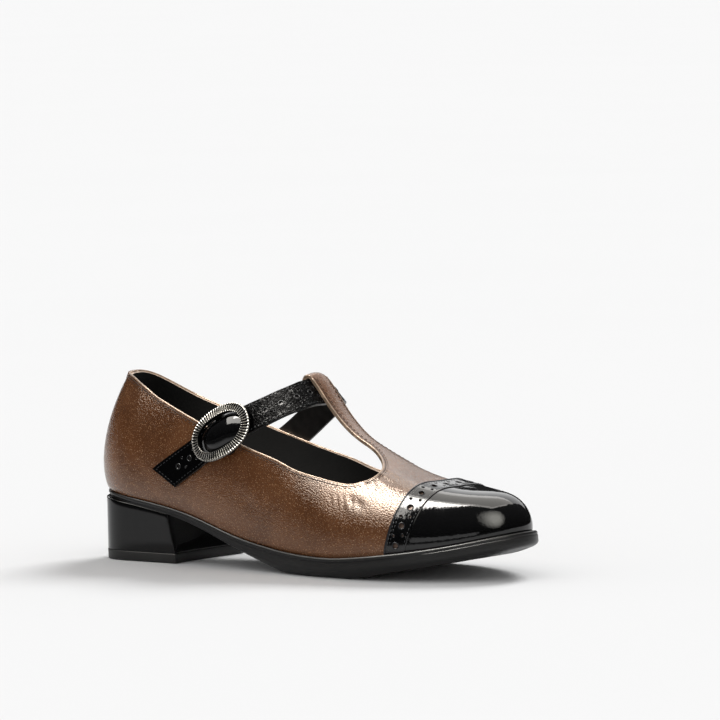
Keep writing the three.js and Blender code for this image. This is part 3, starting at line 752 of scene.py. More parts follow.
class Workpiece:
    """A piece while it is being modelled: one bmesh, and the last that it is placed on."""

    def __init__(self, name: str, last: Last) -> None:
        """Start an empty piece."""
        self.name = name
        self.last = last
        self.bm = bmesh.new()
        self.uv = self.bm.loops.layers.uv.new("UVMap")

    def grid(self, across: int, down: int, place: Place, outward: Place | None = None) -> Faces:
        """Add a grid that is bent into shape.

        Args:
            across: Cells along the first direction.
            down: Cells along the second direction.
            place: Gives points in the last's millimetres for both directions, each from 0 to 1.
            outward: Gives vectors that point out of the piece, for the faces' direction.

        Returns:
            The new faces.
        """
        made = bmesh.ops.create_grid(self.bm, x_segments=across, y_segments=down, size=0.5, calc_uvs=True)["verts"]
        flat = np.array([v.co[:2] for v in made]) + 0.5
        u = np.round(flat[:, 0] * across) / across
        v = np.round(flat[:, 1] * down) / down
        for vert, point in zip(made, self.last.row(place(u, v))):
            vert.co = point
        faces = faces_of(made)
        for face in faces:
            face.smooth = True
        if outward is not None:
            self._turn_out(made, u, v, outward, faces)
        return faces

    def sheet(self, across: int, down: int, spot: Spot, lift: float) -> None:
        """Add a sheet that lies on the last.

        Args:
            across: Cells along the first direction.
            down: Cells along the second direction.
            spot: Gives stations and places up the rib for both directions, each from 0 to 1.
            lift: Distance off the last, in millimetres.
        """
        self.grid(
            across,
            down,
            lambda u, v: self.last.skin(*spot(u, v), lift),
            lambda u, v: self.last.outward(*spot(u, v)),
        )

    def _turn_out(self, verts: Verts, u: Array, v: Array, outward: Place, faces: Faces) -> None:
        """Turn the faces so that most of them point out.

        Args:
            verts: The grid's points.
            u: Each point's place along the first direction.
            v: Each point's place along the second direction.
            outward: Gives vectors that point out of the piece.
            faces: The faces to turn.
        """
        picks = np.linspace(0, len(verts) - 1, 60).astype(int)
        wanted = outward(u[picks], v[picks])
        votes = 0.0
        for k, out in zip(picks, wanted):
            for face in verts[k].link_faces:
                face.normal_update()
                votes += face.normal.dot(Vector(out))
        if votes < 0:
            bmesh.ops.reverse_faces(self.bm, faces=faces)

    def weld(self, distance: float = 0.012) -> None:
        """Join points that lie together, within a distance in millimetres."""
        bmesh.ops.remove_doubles(self.bm, verts=self.bm.verts[:], dist=distance * MM)

    def object(self, finishes: Sequence[Finish], crisp: float = 40.0) -> Piece:
        """Turn the bmesh into an object at the origin.

        Args:
            finishes: The finishes, in the order of the faces' slots.
            crisp: Angle in degrees above which an edge stays sharp.

        Returns:
            The new object.
        """
        mesh = bpy.data.meshes.new(self.name)
        self.bm.normal_update()
        self.bm.to_mesh(mesh)
        self.bm.free()
        for finish in finishes:
            mesh.materials.append(finish.material())
        shade(mesh, crisp)
        return added(self.name, mesh)


def wall(piece: Piece, thickness: float, inward: bool = True, inner: int = 0, rim: int = 0) -> None:
    """Give a sheet its thickness.

    Args:
        piece: The sheet.
        thickness: Thickness in millimetres.
        inward: Whether it grows into the shoe.
        inner: Offset of the material slot on the far face.
        rim: Offset of the material slot on the rim.
    """
    solid = piece.modifiers.new("wall", "SOLIDIFY")
    solid.thickness = thickness * MM
    solid.offset = -1.0 if inward else 1.0
    solid.use_even_offset = False
    solid.material_offset = inner
    solid.material_offset_rim = rim


def bake(piece: Piece, crisp: float = 40.0) -> None:
    """Apply a piece's modifiers to its mesh."""
    graph = bpy.context.evaluated_depsgraph_get()
    mesh = bpy.data.meshes.new_from_object(piece.evaluated_get(graph), depsgraph=graph)
    piece.modifiers.clear()
    piece.data = mesh
    shade(mesh, crisp)


def rounded_edges(piece: Piece, width: float, segments: int = 2, angle: float = 40.0) -> None:
    """Round a piece's sharp edges.

    Args:
        piece: The piece.
        width: Width of the rounding in millimetres.
        segments: Steps across it.
        angle: Angle in degrees above which an edge is sharp.
    """
    bevel = piece.modifiers.new("rounded", "BEVEL")
    bevel.width = width * MM
    bevel.segments = segments
    bevel.limit_method = "ANGLE"
    bevel.angle_limit = math.radians(angle)
    bevel.harden_normals = False


@dataclass(frozen=True)
class Hole:
    """A punched hole, in the row frame in metres."""

    centre: Vector
    axis: Vector
    radius: float

    @property
    def turn(self) -> Matrix:
        """Return the turn from straight up to the hole's axis."""
        return Vector((0, 0, 1)).rotation_difference(self.axis).to_matrix()

    @property
    def facets(self) -> int:
        """Return how many facets go round it."""
        return 20 if self.radius > 1.0 else 12


def punch(piece: Piece, holes: Sequence[Hole], depth: float) -> None:
    """Cut round holes through a piece.

    Args:
        piece: A closed solid.
        holes: The holes.
        depth: Length of each cut in millimetres, half on each side of its centre.
    """
    tool = bmesh.new()
    for hole in holes:
        bmesh.ops.create_cone(
            tool,
            cap_ends=True,
            segments=hole.facets,
            radius1=hole.radius * MM,
            radius2=hole.radius * MM,
            depth=depth * MM,
            matrix=Matrix.Translation(hole.centre) @ hole.turn.to_4x4(),
        )
    mesh = bpy.data.meshes.new("punches")
    tool.to_mesh(mesh)
    tool.free()
    cutter = added("punches", mesh)
    cut = piece.modifiers.new("punch", "BOOLEAN")
    cut.operation = "DIFFERENCE"
    cut.solver = "EXACT"
    cut.object = cutter
    bake(piece)
    bpy.data.objects.remove(cutter)
    bpy.data.meshes.remove(mesh)


@dataclass
class Path:
    """A path on the shoe: points in millimetres, and the direction out of the surface at each."""

    points: Array
    outward: Array
    reach: float = 0.4

    def __post_init__(self) -> None:
        """Measure the path."""
        steps = np.linalg.norm(np.diff(self.points, axis=0), axis=1)
        keep = np.concatenate([[True], steps > 1e-6])
        self.points, self.outward = self.points[keep], self.outward[keep]
        steps = np.linalg.norm(np.diff(self.points, axis=0), axis=1)
        self.arc = np.concatenate([[0.0], np.cumsum(steps)])

    @property
    def length(self) -> float:
        """Return the path's length."""
        return float(self.arc[-1])

    def at(self, arc: Array) -> tuple[Array, Array, Array]:
        """Return points, tangents and outward vectors at distances along the path."""
        point, out = between(arc, self.arc, self.points), between(arc, self.arc, self.outward)
        ahead = between(arc + self.reach, self.arc, self.points)
        tangent = unit(ahead - between(arc - self.reach, self.arc, self.points))
        out = unit(out - (out * tangent).sum(-1, keepdims=True) * tangent)
        return point, tangent, out


def tube(work: Workpiece, path: Path, radius: float, flat: float = 1.0, sides: int = 10, step: float = 0.8) -> None:
    """Add a round or flattened cord along a path.

    Args:
        work: The piece that it is added to.
        path: The cord's middle line.
        radius: Half its width in millimetres.
        flat: Its height as a share of its width.
        sides: Facets round it.
        step: Length of a facet along it.
    """

    def place(u: Array, v: Array) -> Array:
        """Return points on the cord, drawn together at both ends."""
        point, tangent, out = path.at(u * path.length)
        across = np.cross(tangent, out)
        taper = np.where((u <= 0) | (u >= 1), 0.02, 1.0)[:, None] * radius
        angle = 2 * math.pi * v[:, None]
        return point + taper * (np.cos(angle) * across + flat * np.sin(angle) * out)

    def outward(u: Array, v: Array) -> Array:
        """Return directions away from its middle line."""
        _, tangent, out = path.at(u * path.length)
        angle = 2 * math.pi * v[:, None]
        return np.cos(angle) * np.cross(tangent, out) + np.sin(angle) * out

    work.grid(max(int(path.length / step), 2), sides, place, outward)


@dataclass(frozen=True)
class Stitching:
    """A row of stitches."""

    pitch: float = 2.6
    stitch: float = 1.9
    width: float = 0.42
    sink: float = 0.06

    def sew(self, work: Workpiece, path: Path, start: float = 0.0) -> None:
        """Sew along a path.

        Args:
            work: The piece that the stitches are added to.
            path: The row's line on the surface.
            start: Where the first stitch begins, in millimetres.
        """
        count = int((path.length - start) / self.pitch)
        middles = start + self.pitch * (np.arange(count) + 0.5)
        points, tangents, outs = path.at(middles)
        size = Matrix.Diagonal((self.stitch / 2 * MM, self.width / 2 * MM, self.width / 2 * MM, 1.0))
        for point, tangent, out in zip(work.last.row(points - self.sink * outs), tangents, outs):
            turn = Matrix((tangent, np.cross(out, tangent), out)).transposed().to_4x4()
            matrix = Matrix.Translation(Vector(point)) @ turn @ size
            made = bmesh.ops.create_uvsphere(work.bm, u_segments=6, v_segments=4, radius=1.0, matrix=matrix)
            for face in faces_of(made["verts"]):
                face.smooth = True


def rings(name: str, last: Last, holes: Sequence[Hole], finish: Finish, swell: float) -> Piece:
    """Model the pressed rims of punched holes.

    Args:
        name: The piece's name.
        last: The last that it lies on.
        holes: The holes.
        finish: Its material.
        swell: How thick a rim is, as a share of its hole's radius.

    Returns:
        The rims as one object.
    """
    work = Workpiece(name, last)
    for hole in holes:
        ring = bmesh.ops.create_circle(work.bm, cap_ends=False, radius=1.0, segments=6)
        edges = edges_of(ring["verts"])
        thick = swell * hole.radius * MM
        for vert in ring["verts"]:
            spot = Vector((hole.radius * MM + thick * vert.co.x, 0.0, 0.55 * thick * vert.co.y))
            vert.co = hole.centre + hole.turn @ spot
        bmesh.ops.spin(
            work.bm,
            geom=edges,
            cent=hole.centre,
            axis=hole.axis,
            angle=2 * math.pi,
            steps=hole.facets,
            use_merge=True,
        )
    bmesh.ops.recalc_face_normals(work.bm, faces=work.bm.faces[:])
    return work.object((finish,), crisp=80)


def deliver(piece: Piece, slot: str, *replaces: str) -> Piece:
    """Let a finished piece ride on the shoe, and hide the CAD parts that it stands in for."""
    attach(piece, BODY)
    if replaces:
        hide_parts(*replaces)
    LOG.info("%s: %d faces", piece.name, len(piece.data.polygons))
    return piece


# --- upper


@dataclass
class Upper:
    """The brown upper: quarters, vamp, T-bar and its fold, with rims, stitches and the heel tab."""

    last: Last
    looks: Finishes
    wall: float = 1.8
    nose_at: float = 0.753
    nose_up: float = 0.735
    nose_round: float = 18.0
    bar_width: float = 14.0
    fold_at: float = 0.506
    fold_radius: float = 3.1
    fold_tuck: float = 4.0
    rim_radius: float = 0.44
    stitch_inset: float = 2.3
    tab_reach: float = 12.0
    tab_drop: float = 0.145
    tab_thickness: float = 0.75
    # painted shade: the dark line beside the turned edge stands in for the shade of a groove
    shade_line_inset: float = 1.25
    shade_line_radius: float = 0.26
    seam_up: Pair = (0.33, 0.03)
    seam_rows: Pair = (-0.02, 0.02)
    cells_low: int = 34
    cells_high: int = 22
    creases: tuple[Crease, ...] = (
        Crease(Side.OUTER, (0.650, 0.375), (0.661, 0.300), 0.95, 0.15),
        Crease(Side.OUTER, (0.667, 0.375), (0.675, 0.295), 0.9, 0.19),
        Crease(Side.OUTER, (0.682, 0.385), (0.689, 0.300), 0.9, 0.15),
        Crease(Side.OUTER, (0.700, 0.400), (0.708, 0.300), 1.0, 0.22),
        Crease(Side.OUTER, (0.735, 0.60), (0.775, 0.52), 1.4, 0.3),
        Crease(Side.OUTER, (0.745, 0.66), (0.79, 0.60), 1.3, 0.36),
        Crease(Side.OUTER, (0.715, 0.60), (0.745, 0.50), 1.3, 0.34),
        Crease(Side.OUTER, (0.70, 0.38), (0.735, 0.33), 2.0, 0.32),
        Crease(Side.OUTER, (0.76, 0.74), (0.80, 0.70), 1.3, 0.2),
        Crease(Side.INNER, (0.735, 0.62), (0.775, 0.55), 1.5, 0.26),
        Crease(Side.INNER, (0.72, 0.38), (0.76, 0.32), 2.0, 0.22),
        Crease(Side.OUTER, (0.60, 0.22), (0.66, 0.17), 2.6, 0.16),
        Crease(Side.INNER, (0.58, 0.22), (0.64, 0.17), 2.6, 0.16),
        Crease(Side.OUTER, (0.40, 0.16), (0.47, 0.12), 3.0, 0.16),
    )

    def _fade(self, share: Array) -> Array:
        """Return 1 along the opening and 0 at its rounded front end."""
        run = self.nose_round / self.last.length
        return np.sqrt(np.clip(1 - np.clip((share - (self.nose_at - run)) / run, 0, 1) ** 2, 0, 1))

    def _closed(self, share: Array, edge: Array) -> Array:
        """Return an edge that runs into the opening's front end."""
        return np.where(share >= self.nose_at, self.nose_up, self.nose_up + (edge - self.nose_up) * self._fade(share))

    def lower_edge(self, share: Array, side: Side) -> Array:
        """Return the opening's lower edge, as a place up the rib."""
        return self._closed(share, self.last.topline.at(side.name, share))

    def upper_edge(self, share: Array, side: Side) -> Array:
        """Return the T-bar's edge, as a place up the rib."""
        station = side.value * self.last.station(share)
        low = np.full_like(share, self.nose_up * 0.6)
        high = np.ones_like(share)
        ridge = self.last.skin(station, high)
        for _ in range(34):
            middle = (low + high) / 2
            offset = self.last.skin(station, middle) - ridge
            reach = np.linalg.norm(offset[..., 1:], axis=-1)
            far = reach > self.bar_width / 2
            low, high = np.where(far, middle, low), np.where(far, high, middle)
        return self._closed(share, low)

    def dent(self, points: Array, side: Array) -> Array:
        """Return how deep the creases are at points of the last."""
        depth = np.zeros(len(points))
        for crease in self.creases:
            ends = [
                self.last.skin(np.array([crease.side.value * self.last.station(s)]), np.array([u]))[0]
                for s, u in (crease.start, crease.end)
            ]
            line = ends[1] - ends[0]
            length = np.linalg.norm(line)
            t = np.clip((points - ends[0]) @ line / length**2, 0, 1)
            gap = np.linalg.norm(points - ends[0] - t[:, None] * line, axis=1)
            fade = 4 * t * (1 - t) * 0.75 + 0.25
            depth -= crease.depth * fade * np.exp(-((gap / crease.width) ** 2)) * (side == crease.side.value)
            ridge = np.exp(-(((gap - 1.9 * crease.width) / crease.width) ** 2))
            depth += 0.35 * crease.depth * fade * ridge * (side == crease.side.value)
        return depth

    def _meet(self, station: Array, up: Array) -> Array:
        """Return the small move that makes both sides meet on the ridge."""
        top = np.ones_like(up)
        gap = self.last.skin(-station, top) - self.last.skin(station, top)
        return 0.5 * smoothstep(0.8, 1.0, up)[:, None] * gap

    def _skin(self, station: Array, up: Array) -> Array:
        """Return the creased leather's surface."""
        flat = self.last.skin(station, up)
        sign = np.where(station < 0, -1, 1)
        depth = self.dent(flat, sign) * (1 - smoothstep(0.93, 1.0, up))
        return flat + self._meet(station, up) + depth[:, None] * self.last.outward(station, up)

    def fold(self, share: float, side_up: Array, sign: Array, run: Array) -> Array:
        """Carry points of the T-bar's end round its fold.

        Args:
            share: Where the fold starts.
            side_up: Place up the rib of each point at the fold's start.
            sign: The side of each point.
            run: Distance of each point past the fold's start.

        Returns:
            Points in the last's millimetres.
        """
        station = self.last.station(share)
        where = sign * station * np.ones_like(side_up)
        start = self.last.skin(where, side_up) + self._meet(where, side_up)
        ends = self.last.skin(np.array([-station, -self.last.station(share + 0.01)]), np.array([1.0, 1.0]))
        forward = unit((ends[1] - ends[0]) * np.array([1.0, 0.0, 1.0]))
        down = np.array([forward[2], 0.0, -forward[0]])
        bend = np.minimum(run / self.fold_radius, math.pi)[:, None]
        tuck = np.maximum(run - math.pi * self.fold_radius, 0)[:, None]
        radius = self.fold_radius
        return start + (tuck - radius * np.sin(bend)) * forward + radius * (1 - np.cos(bend)) * down

    def _shell(self) -> Piece:
        """Model the whole upper as one sheet with real openings, and give it its wall."""
        work = Workpiece("upper_leather", self.last)
        last = self.last
        nose = last.station(self.nose_at)

        def back_share(u: Array) -> Array:
            """Return the last's share from the heel to the opening's front end."""
            return self.nose_at * np.sin(math.pi / 2 * np.clip(u, 0, 1)) ** 1.6

        def front_share(u: Array) -> Array:
            """Return the last's share from the opening's front end to the toe."""
            return last.share(nose + (1 - nose) * u)

        def below(shares: Callable[[Array], Array], side: Side) -> Place:
            """Return the leather from the feather line to the opening."""

            def place(u: Array, v: Array) -> Array:
                """Return its points."""
                share = shares(u)
                station = side.value * np.maximum(last.station(share), 1e-7)
                return self._skin(station, v * self.lower_edge(share, side))

            return place

        def above(shares: Callable[[Array], Array], edge: Callable[[Array, Side], Array], side: Side) -> Place:
            """Return the leather from an edge to the ridge."""

            def place(u: Array, v: Array) -> Array:
                """Return its points."""
                share = shares(u)
                return self._skin(side.value * last.station(share), 1 - (1 - edge(share, side)) * (1 - v))

            return place

        def folded(side: Side) -> Place:
            """Return the T-bar's end, which runs over the strap and back under it."""

            def place(u: Array, v: Array) -> Array:
                """Return its points."""
                edge = self.upper_edge(np.array([self.fold_at]), side)[0]
                run = u * (math.pi * self.fold_radius + self.fold_tuck)
                return self.fold(self.fold_at, 1 - (1 - edge) * (1 - v), np.full_like(u, side.value), run)

            return place

        up = steady(0.0, 0.0, 1.0)
        for side in Side:
            level = steady(0.0, float(side.value), 0.15)
            work.grid(190, self.cells_low, below(back_share, side), level)
            work.grid(60, self.cells_low, below(front_share, side), level)
            work.grid(60, self.cells_high, above(front_share, self.lower_edge, side), up)
            work.grid(46, self.cells_high, above(self._bar_share, self.upper_edge, side), up)
            self._match(work, work.grid(44, self.cells_high, folded(side)))
        work.weld(0.02)
        piece = work.object((self.looks.pearl, self.looks.lining, self.looks.edge))
        wall(piece, self.wall, inner=1, rim=2)
        bake(piece, crisp=50)
        return deliver(piece, "brown_patent", "upper")

    def _bar_share(self, u: Array) -> Array:
        """Return the last's share from the T-bar's fold to the opening's front end."""
        return self.fold_at + (self.nose_at - self.fold_at) * np.sin(math.pi / 2 * u)

    @staticmethod
    def _match(work: Workpiece, faces: Faces) -> None:
        """Turn the fold's faces so that its first row points up, as the T-bar does."""
        high = max(faces, key=lambda face: face.calc_center_median().z)
        high.normal_update()
        if high.normal.z < 0:
            bmesh.ops.reverse_faces(work.bm, faces=faces)

    def rim_path(self, side: Side, inset: float, lift: float) -> Path:
        """Return the opening's edge from the heel round the front end and along the T-bar to its fold.

        Args:
            side: The side of the foot.
            inset: Distance in from the edge, on the leather.
            lift: Height off the leather.

        Returns:
            The path.
        """
        last, sign = self.last, side.value
        share = self.nose_at * np.sin(math.pi / 2 * np.linspace(0, 1, 420)) ** 1.4
        low = np.stack([sign * np.maximum(last.station(share), 1e-7), self.lower_edge(share, side)])
        share = self._bar_share(np.linspace(1, 0, 260))
        high = np.stack([sign * last.station(share), self.upper_edge(share, side)])
        line = np.concatenate([low, high[:, 1:]], axis=1)
        path = Path(last.skin(*line), last.outward(*line))
        if inset:
            point, tangent, out = path.at(path.arc)
            return Path(point - sign * inset * np.cross(tangent, out) + lift * out, out)
        return Path(path.points + lift * path.outward, path.outward)

    def fold_edge(self, side: Side) -> Path:
        """Return the T-bar's edge round its fold."""
        run = np.linspace(0, math.pi * self.fold_radius + self.fold_tuck, 70)
        up = np.full_like(run, self.upper_edge(np.array([self.fold_at]), side)[0])
        edge = self.fold(self.fold_at, up, np.full_like(run, side.value), run)
        out = unit(np.cross(np.gradient(edge, axis=0), np.array([0.0, 1.0, 0.0])))
        return Path(edge, out * np.sign(out[0, 2]))

    def _rims(self) -> Piece:
        """Model the turned edge all round the openings."""
        work = Workpiece("folded_edges", self.last)
        sink = 0.14 - self.rim_radius
        for side in Side:
            tube(work, self.rim_path(side, 0.0, sink), self.rim_radius, step=0.9)
            fold = self.fold_edge(side)
            tube(work, Path(fold.points + sink * fold.outward, fold.outward), self.rim_radius, step=0.7)
        work.weld(0.001)
        return deliver(work.object((self.looks.edge,)), "brown_patent")

    def _painted_groove_shade(self) -> Piece:
        """Model the dark line where the turned edge meets the leather: a flat dark cord painted in as the shade of the
        groove beside the fold.
        """
        work = Workpiece("painted_groove_shade", self.last)
        for side in Side:
            # painted shade: a flat dark cord where the groove's shade falls
            tube(work, self.rim_path(side, self.shade_line_inset, 0.0), self.shade_line_radius, flat=0.3, sides=6, step=1.2)
        work.weld(0.001)
        return deliver(work.object((self.looks.brown_thread_and_painted_shade,)), "brown_patent")

    def _stitches(self) -> Piece:
        """Sew the rows beside the openings and down the back seam."""
        work = Workpiece("upper_stitches", self.last)
        sewing = Stitching()
        for side in Side:
            sewing.sew(work, self.rim_path(side, self.stitch_inset, 0.02), start=3.0)
        up = np.linspace(*self.seam_up, 60)
        for station in self.seam_rows:
            where = np.full_like(up, station)
            sewing.sew(work, Path(self.last.skin(where, up), self.last.outward(where, up)))
        return deliver(work.object((self.looks.brown_thread_and_painted_shade,)), "brown_patent")

    def _tab(self) -> Piece:
        """Model the leaf over the back seam."""
        last = self.last
        reach = last.station(0.5 * (self.tab_reach / last.length) ** 1.4)
        work = Workpiece("heel_leaf", last)

        def spot(u: Array, v: Array) -> tuple[Array, Array]:
            """Return the leaf's stations and ribs, from the collar down."""
            station = (2 * u - 1) * reach
            outer, inner = (last.rim(np.abs(station), side) for side in Side)
            leaf = np.clip(1 - np.abs(2 * u - 1) ** 1.3, 0, 1)
            up = np.where(station < 0, outer, inner) - v * self.tab_drop * leaf
            return np.where(np.abs(station) < 1e-7, -1e-7, station), up

        work.sheet(40, 16, spot, 0.05)
        work.weld(0.005)
        piece = work.object((self.looks.pearl,))
        wall(piece, self.tab_thickness, inward=False)
        rounded_edges(piece, 0.3)
        bake(piece, crisp=50)
        return deliver(piece, "brown_patent", "heel_tab")

    def build(self) -> list[Piece]:
        """Build every piece of the upper."""
        return [self._shell(), self._rims(), self._painted_groove_shade(), self._stitches(), self._tab()]


# --- toe cap and band


@dataclass
class ToeCap:
    """The black toe cap, and the punched band over its back edge."""

    last: Last
    looks: Finishes
    cap_line: float = 0.808
    band_line: float = 0.7715
    cap_lean: float = 0.26
    band_lean: float = 0.2
    cap_lift: float = 0.06
    cap_thickness: float = 1.15
    band_lift: float = 0.08
    band_thickness: float = 1.62
    under_cap: float = 2.5
    hole_pitch: float = 9.9
    first_hole: float = 4.3
    big_hole: float = 1.5
    small_hole: float = 0.72
    pair_spread: float = 0.2
    cord_radius: float = 0.55
    cord_at: float = 0.045
    underlay: float = 0.5
    underlay_room: float = 0.55
    sewn_at: tuple[float, ...] = (0.12, 0.22, 0.88)

    def edge(self, up: Array, sign: Array, line: float, lean: float, shift: float = 0.0) -> Array:
        """Return the station where each rib meets a slanted cut.

        Args:
            up: Place up the rib.
            sign: Side of the foot.
            line: The cut's place at the floor, as a share of the last.
            lean: How far it leans forward for each millimetre of height.
            shift: Extra distance forward.

        Returns:
            Unsigned stations.
        """
        start = line * self.last.length + shift
        low = np.full_like(up, 0.4)
        high = np.ones_like(up)
        for _ in range(30):
            middle = (low + high) / 2
            point = self.last.skin(sign * middle, up)
            behind = point[:, 0] - lean * point[:, 2] < start
            low, high = np.where(behind, middle, low), np.where(behind, high, middle)
        return low

    @staticmethod
    def across(v: Array) -> tuple[Array, Array]:
        """Return the side and the place up the rib for a run from the outer to the inner feather line."""
        sign = np.where(v <= 0.5, -1.0, 1.0)
        half = np.abs(2 * v - 1)
        return sign, 1 - half**1.4

    def _cap(self) -> Piece:
        """Model the cap from under the band to the toe."""
        work = Workpiece("toe_cap_leather", self.last)

        def spot(u: Array, v: Array) -> tuple[Array, Array]:
            """Return the cap's stations and ribs, from its rear edge to the toe."""
            sign, up = self.across(v)
            start = self.edge(up, sign, self.cap_line, self.cap_lean, -self.under_cap)
            return sign * (start + (1 - start) * u), up

        work.sheet(70, 132, spot, self.cap_lift)
        work.weld(0.01)
        piece = work.object((self.looks.cap,))
        wall(piece, self.cap_thickness - self.cap_lift, inward=False)
        bake(piece)
        return deliver(piece, "black_patent", "toe_cap")

    def band_spot(self, u: Array, v: Array) -> tuple[Array, Array]:
        """Return stations and ribs of the band: u across it from back to front, v along it."""
        sign, up = self.across(v)
        back = self.edge(up, sign, self.band_line, self.band_lean)
        front = self.edge(up, sign, self.cap_line, self.cap_lean)
        return sign * (back + (front - back) * u), up

    def band_path(self, u: float, lift: float) -> Path:
        """Return a line along the band at one place across it."""
        v = np.linspace(0, 1, 700)
        station, up = self.band_spot(np.full_like(v, u), v)
        return Path(self.last.skin(station, up, lift), self.last.outward(station, up))

    def _band(self) -> Piece:
        """Model the band and punch its pattern."""
        work = Workpiece("punched_band_leather", self.last)
        work.sheet(14, 190, self.band_spot, self.band_lift + self.underlay_room)
        work.weld(0.005)
        piece = work.object((self.looks.band,))
        wall(piece, self.band_thickness - self.band_lift - self.underlay_room, inward=False)
        rounded_edges(piece, 0.32)
        bake(piece)
        punch(piece, self._holes(), 4.0)
        return deliver(piece, "black_patent", "punched_band")

    def _holes(self) -> list[Hole]:
        """Lay out the big holes and the pairs between them."""
        middle = self.band_path(0.5, self.band_thickness)
        sides = [self.band_path(0.5 + spread, self.band_thickness) for spread in (-self.pair_spread, self.pair_spread)]
        run = middle.length - 2 * self.first_hole
        count = int(round(run / self.hole_pitch))
        pitch = run / count
        holes = []
        for i in range(count + 1):
            holes.append(self._hole(middle, self.first_hole + i * pitch, self.big_hole))
            if i < count:
                share = (self.first_hole + (i + 0.5) * pitch) / middle.length
                holes += [self._hole(path, share * path.length, self.small_hole) for path in sides]
        return holes

    def _hole(self, path: Path, arc: float, radius: float) -> Hole:
        """Return one hole at a distance along a path."""
        point, _, out = path.at(np.array([arc]))
        return Hole(Vector(self.last.row(point)[0]), Vector(out[0]), radius)

    def _underlay(self) -> Piece:
        """Model the brown layer that shows through the band's holes."""
        work = Workpiece("band_underlay", self.last)
        work.sheet(6, 120, lambda u, v: self.band_spot(0.04 + 0.92 * u, v), self.band_lift)
        work.weld(0.005)
        piece = work.object((self.looks.under,))
        wall(piece, self.underlay, inward=False)
        bake(piece)
        return deliver(piece, "brown_patent")

    def _stitches(self) -> Piece:
        """Sew both edges of the band."""
        work = Workpiece("band_stitches", self.last)
        sewing = Stitching(pitch=2.0, stitch=1.5, width=0.4)
        for u in self.sewn_at:
            sewing.sew(work, self.band_path(u, self.band_thickness), start=1.0)
        return deliver(work.object((self.looks.black_thread,)), "black_patent")

    def _cord(self) -> Piece:
        """Lay the dark turned edge along the band's rear."""
        work = Workpiece("band_rear_edge", self.last)
        tube(work, self.band_path(self.cord_at, self.band_thickness - 0.1), self.cord_radius, flat=0.7, step=0.9)
        return deliver(work.object((self.looks.rim,)), "black_patent")

    def build(self) -> list[Piece]:
        """Build the cap and the band."""
        rims = rings("band_hole_rims", self.last, self._holes(), self.looks.rim, 0.2)
        pieces = [self._cap(), self._band(), self._underlay(), self._stitches(), self._cord()]
        return [*pieces, deliver(rims, "black_patent")]


# --- strap and buckle
# the strap's route over the foot: ribs past 1 are on the inner side
STRAP_ROUTE = (
    (0.05, 0.17, 0.3),
    (0.115, 0.2155, 0.2),
    (0.222, 0.2885, 0.0),
    (0.284, 0.324, 0.1),
    (0.35, 0.3655, 1.3),
    (0.43, 0.413, 0.0),
    (0.528, 0.462, -0.6),
    (0.658, 0.502, -1.6),
    (0.8, 0.523, -3.0),
    (1.0, 0.534, -4.4),
    (1.2, 0.52, -3.0),
    (1.34, 0.498, -1.6),
    (1.5, 0.45, -0.6),
    (1.66, 0.375, 0.0),
    (1.83, 0.27, 0.0),
)


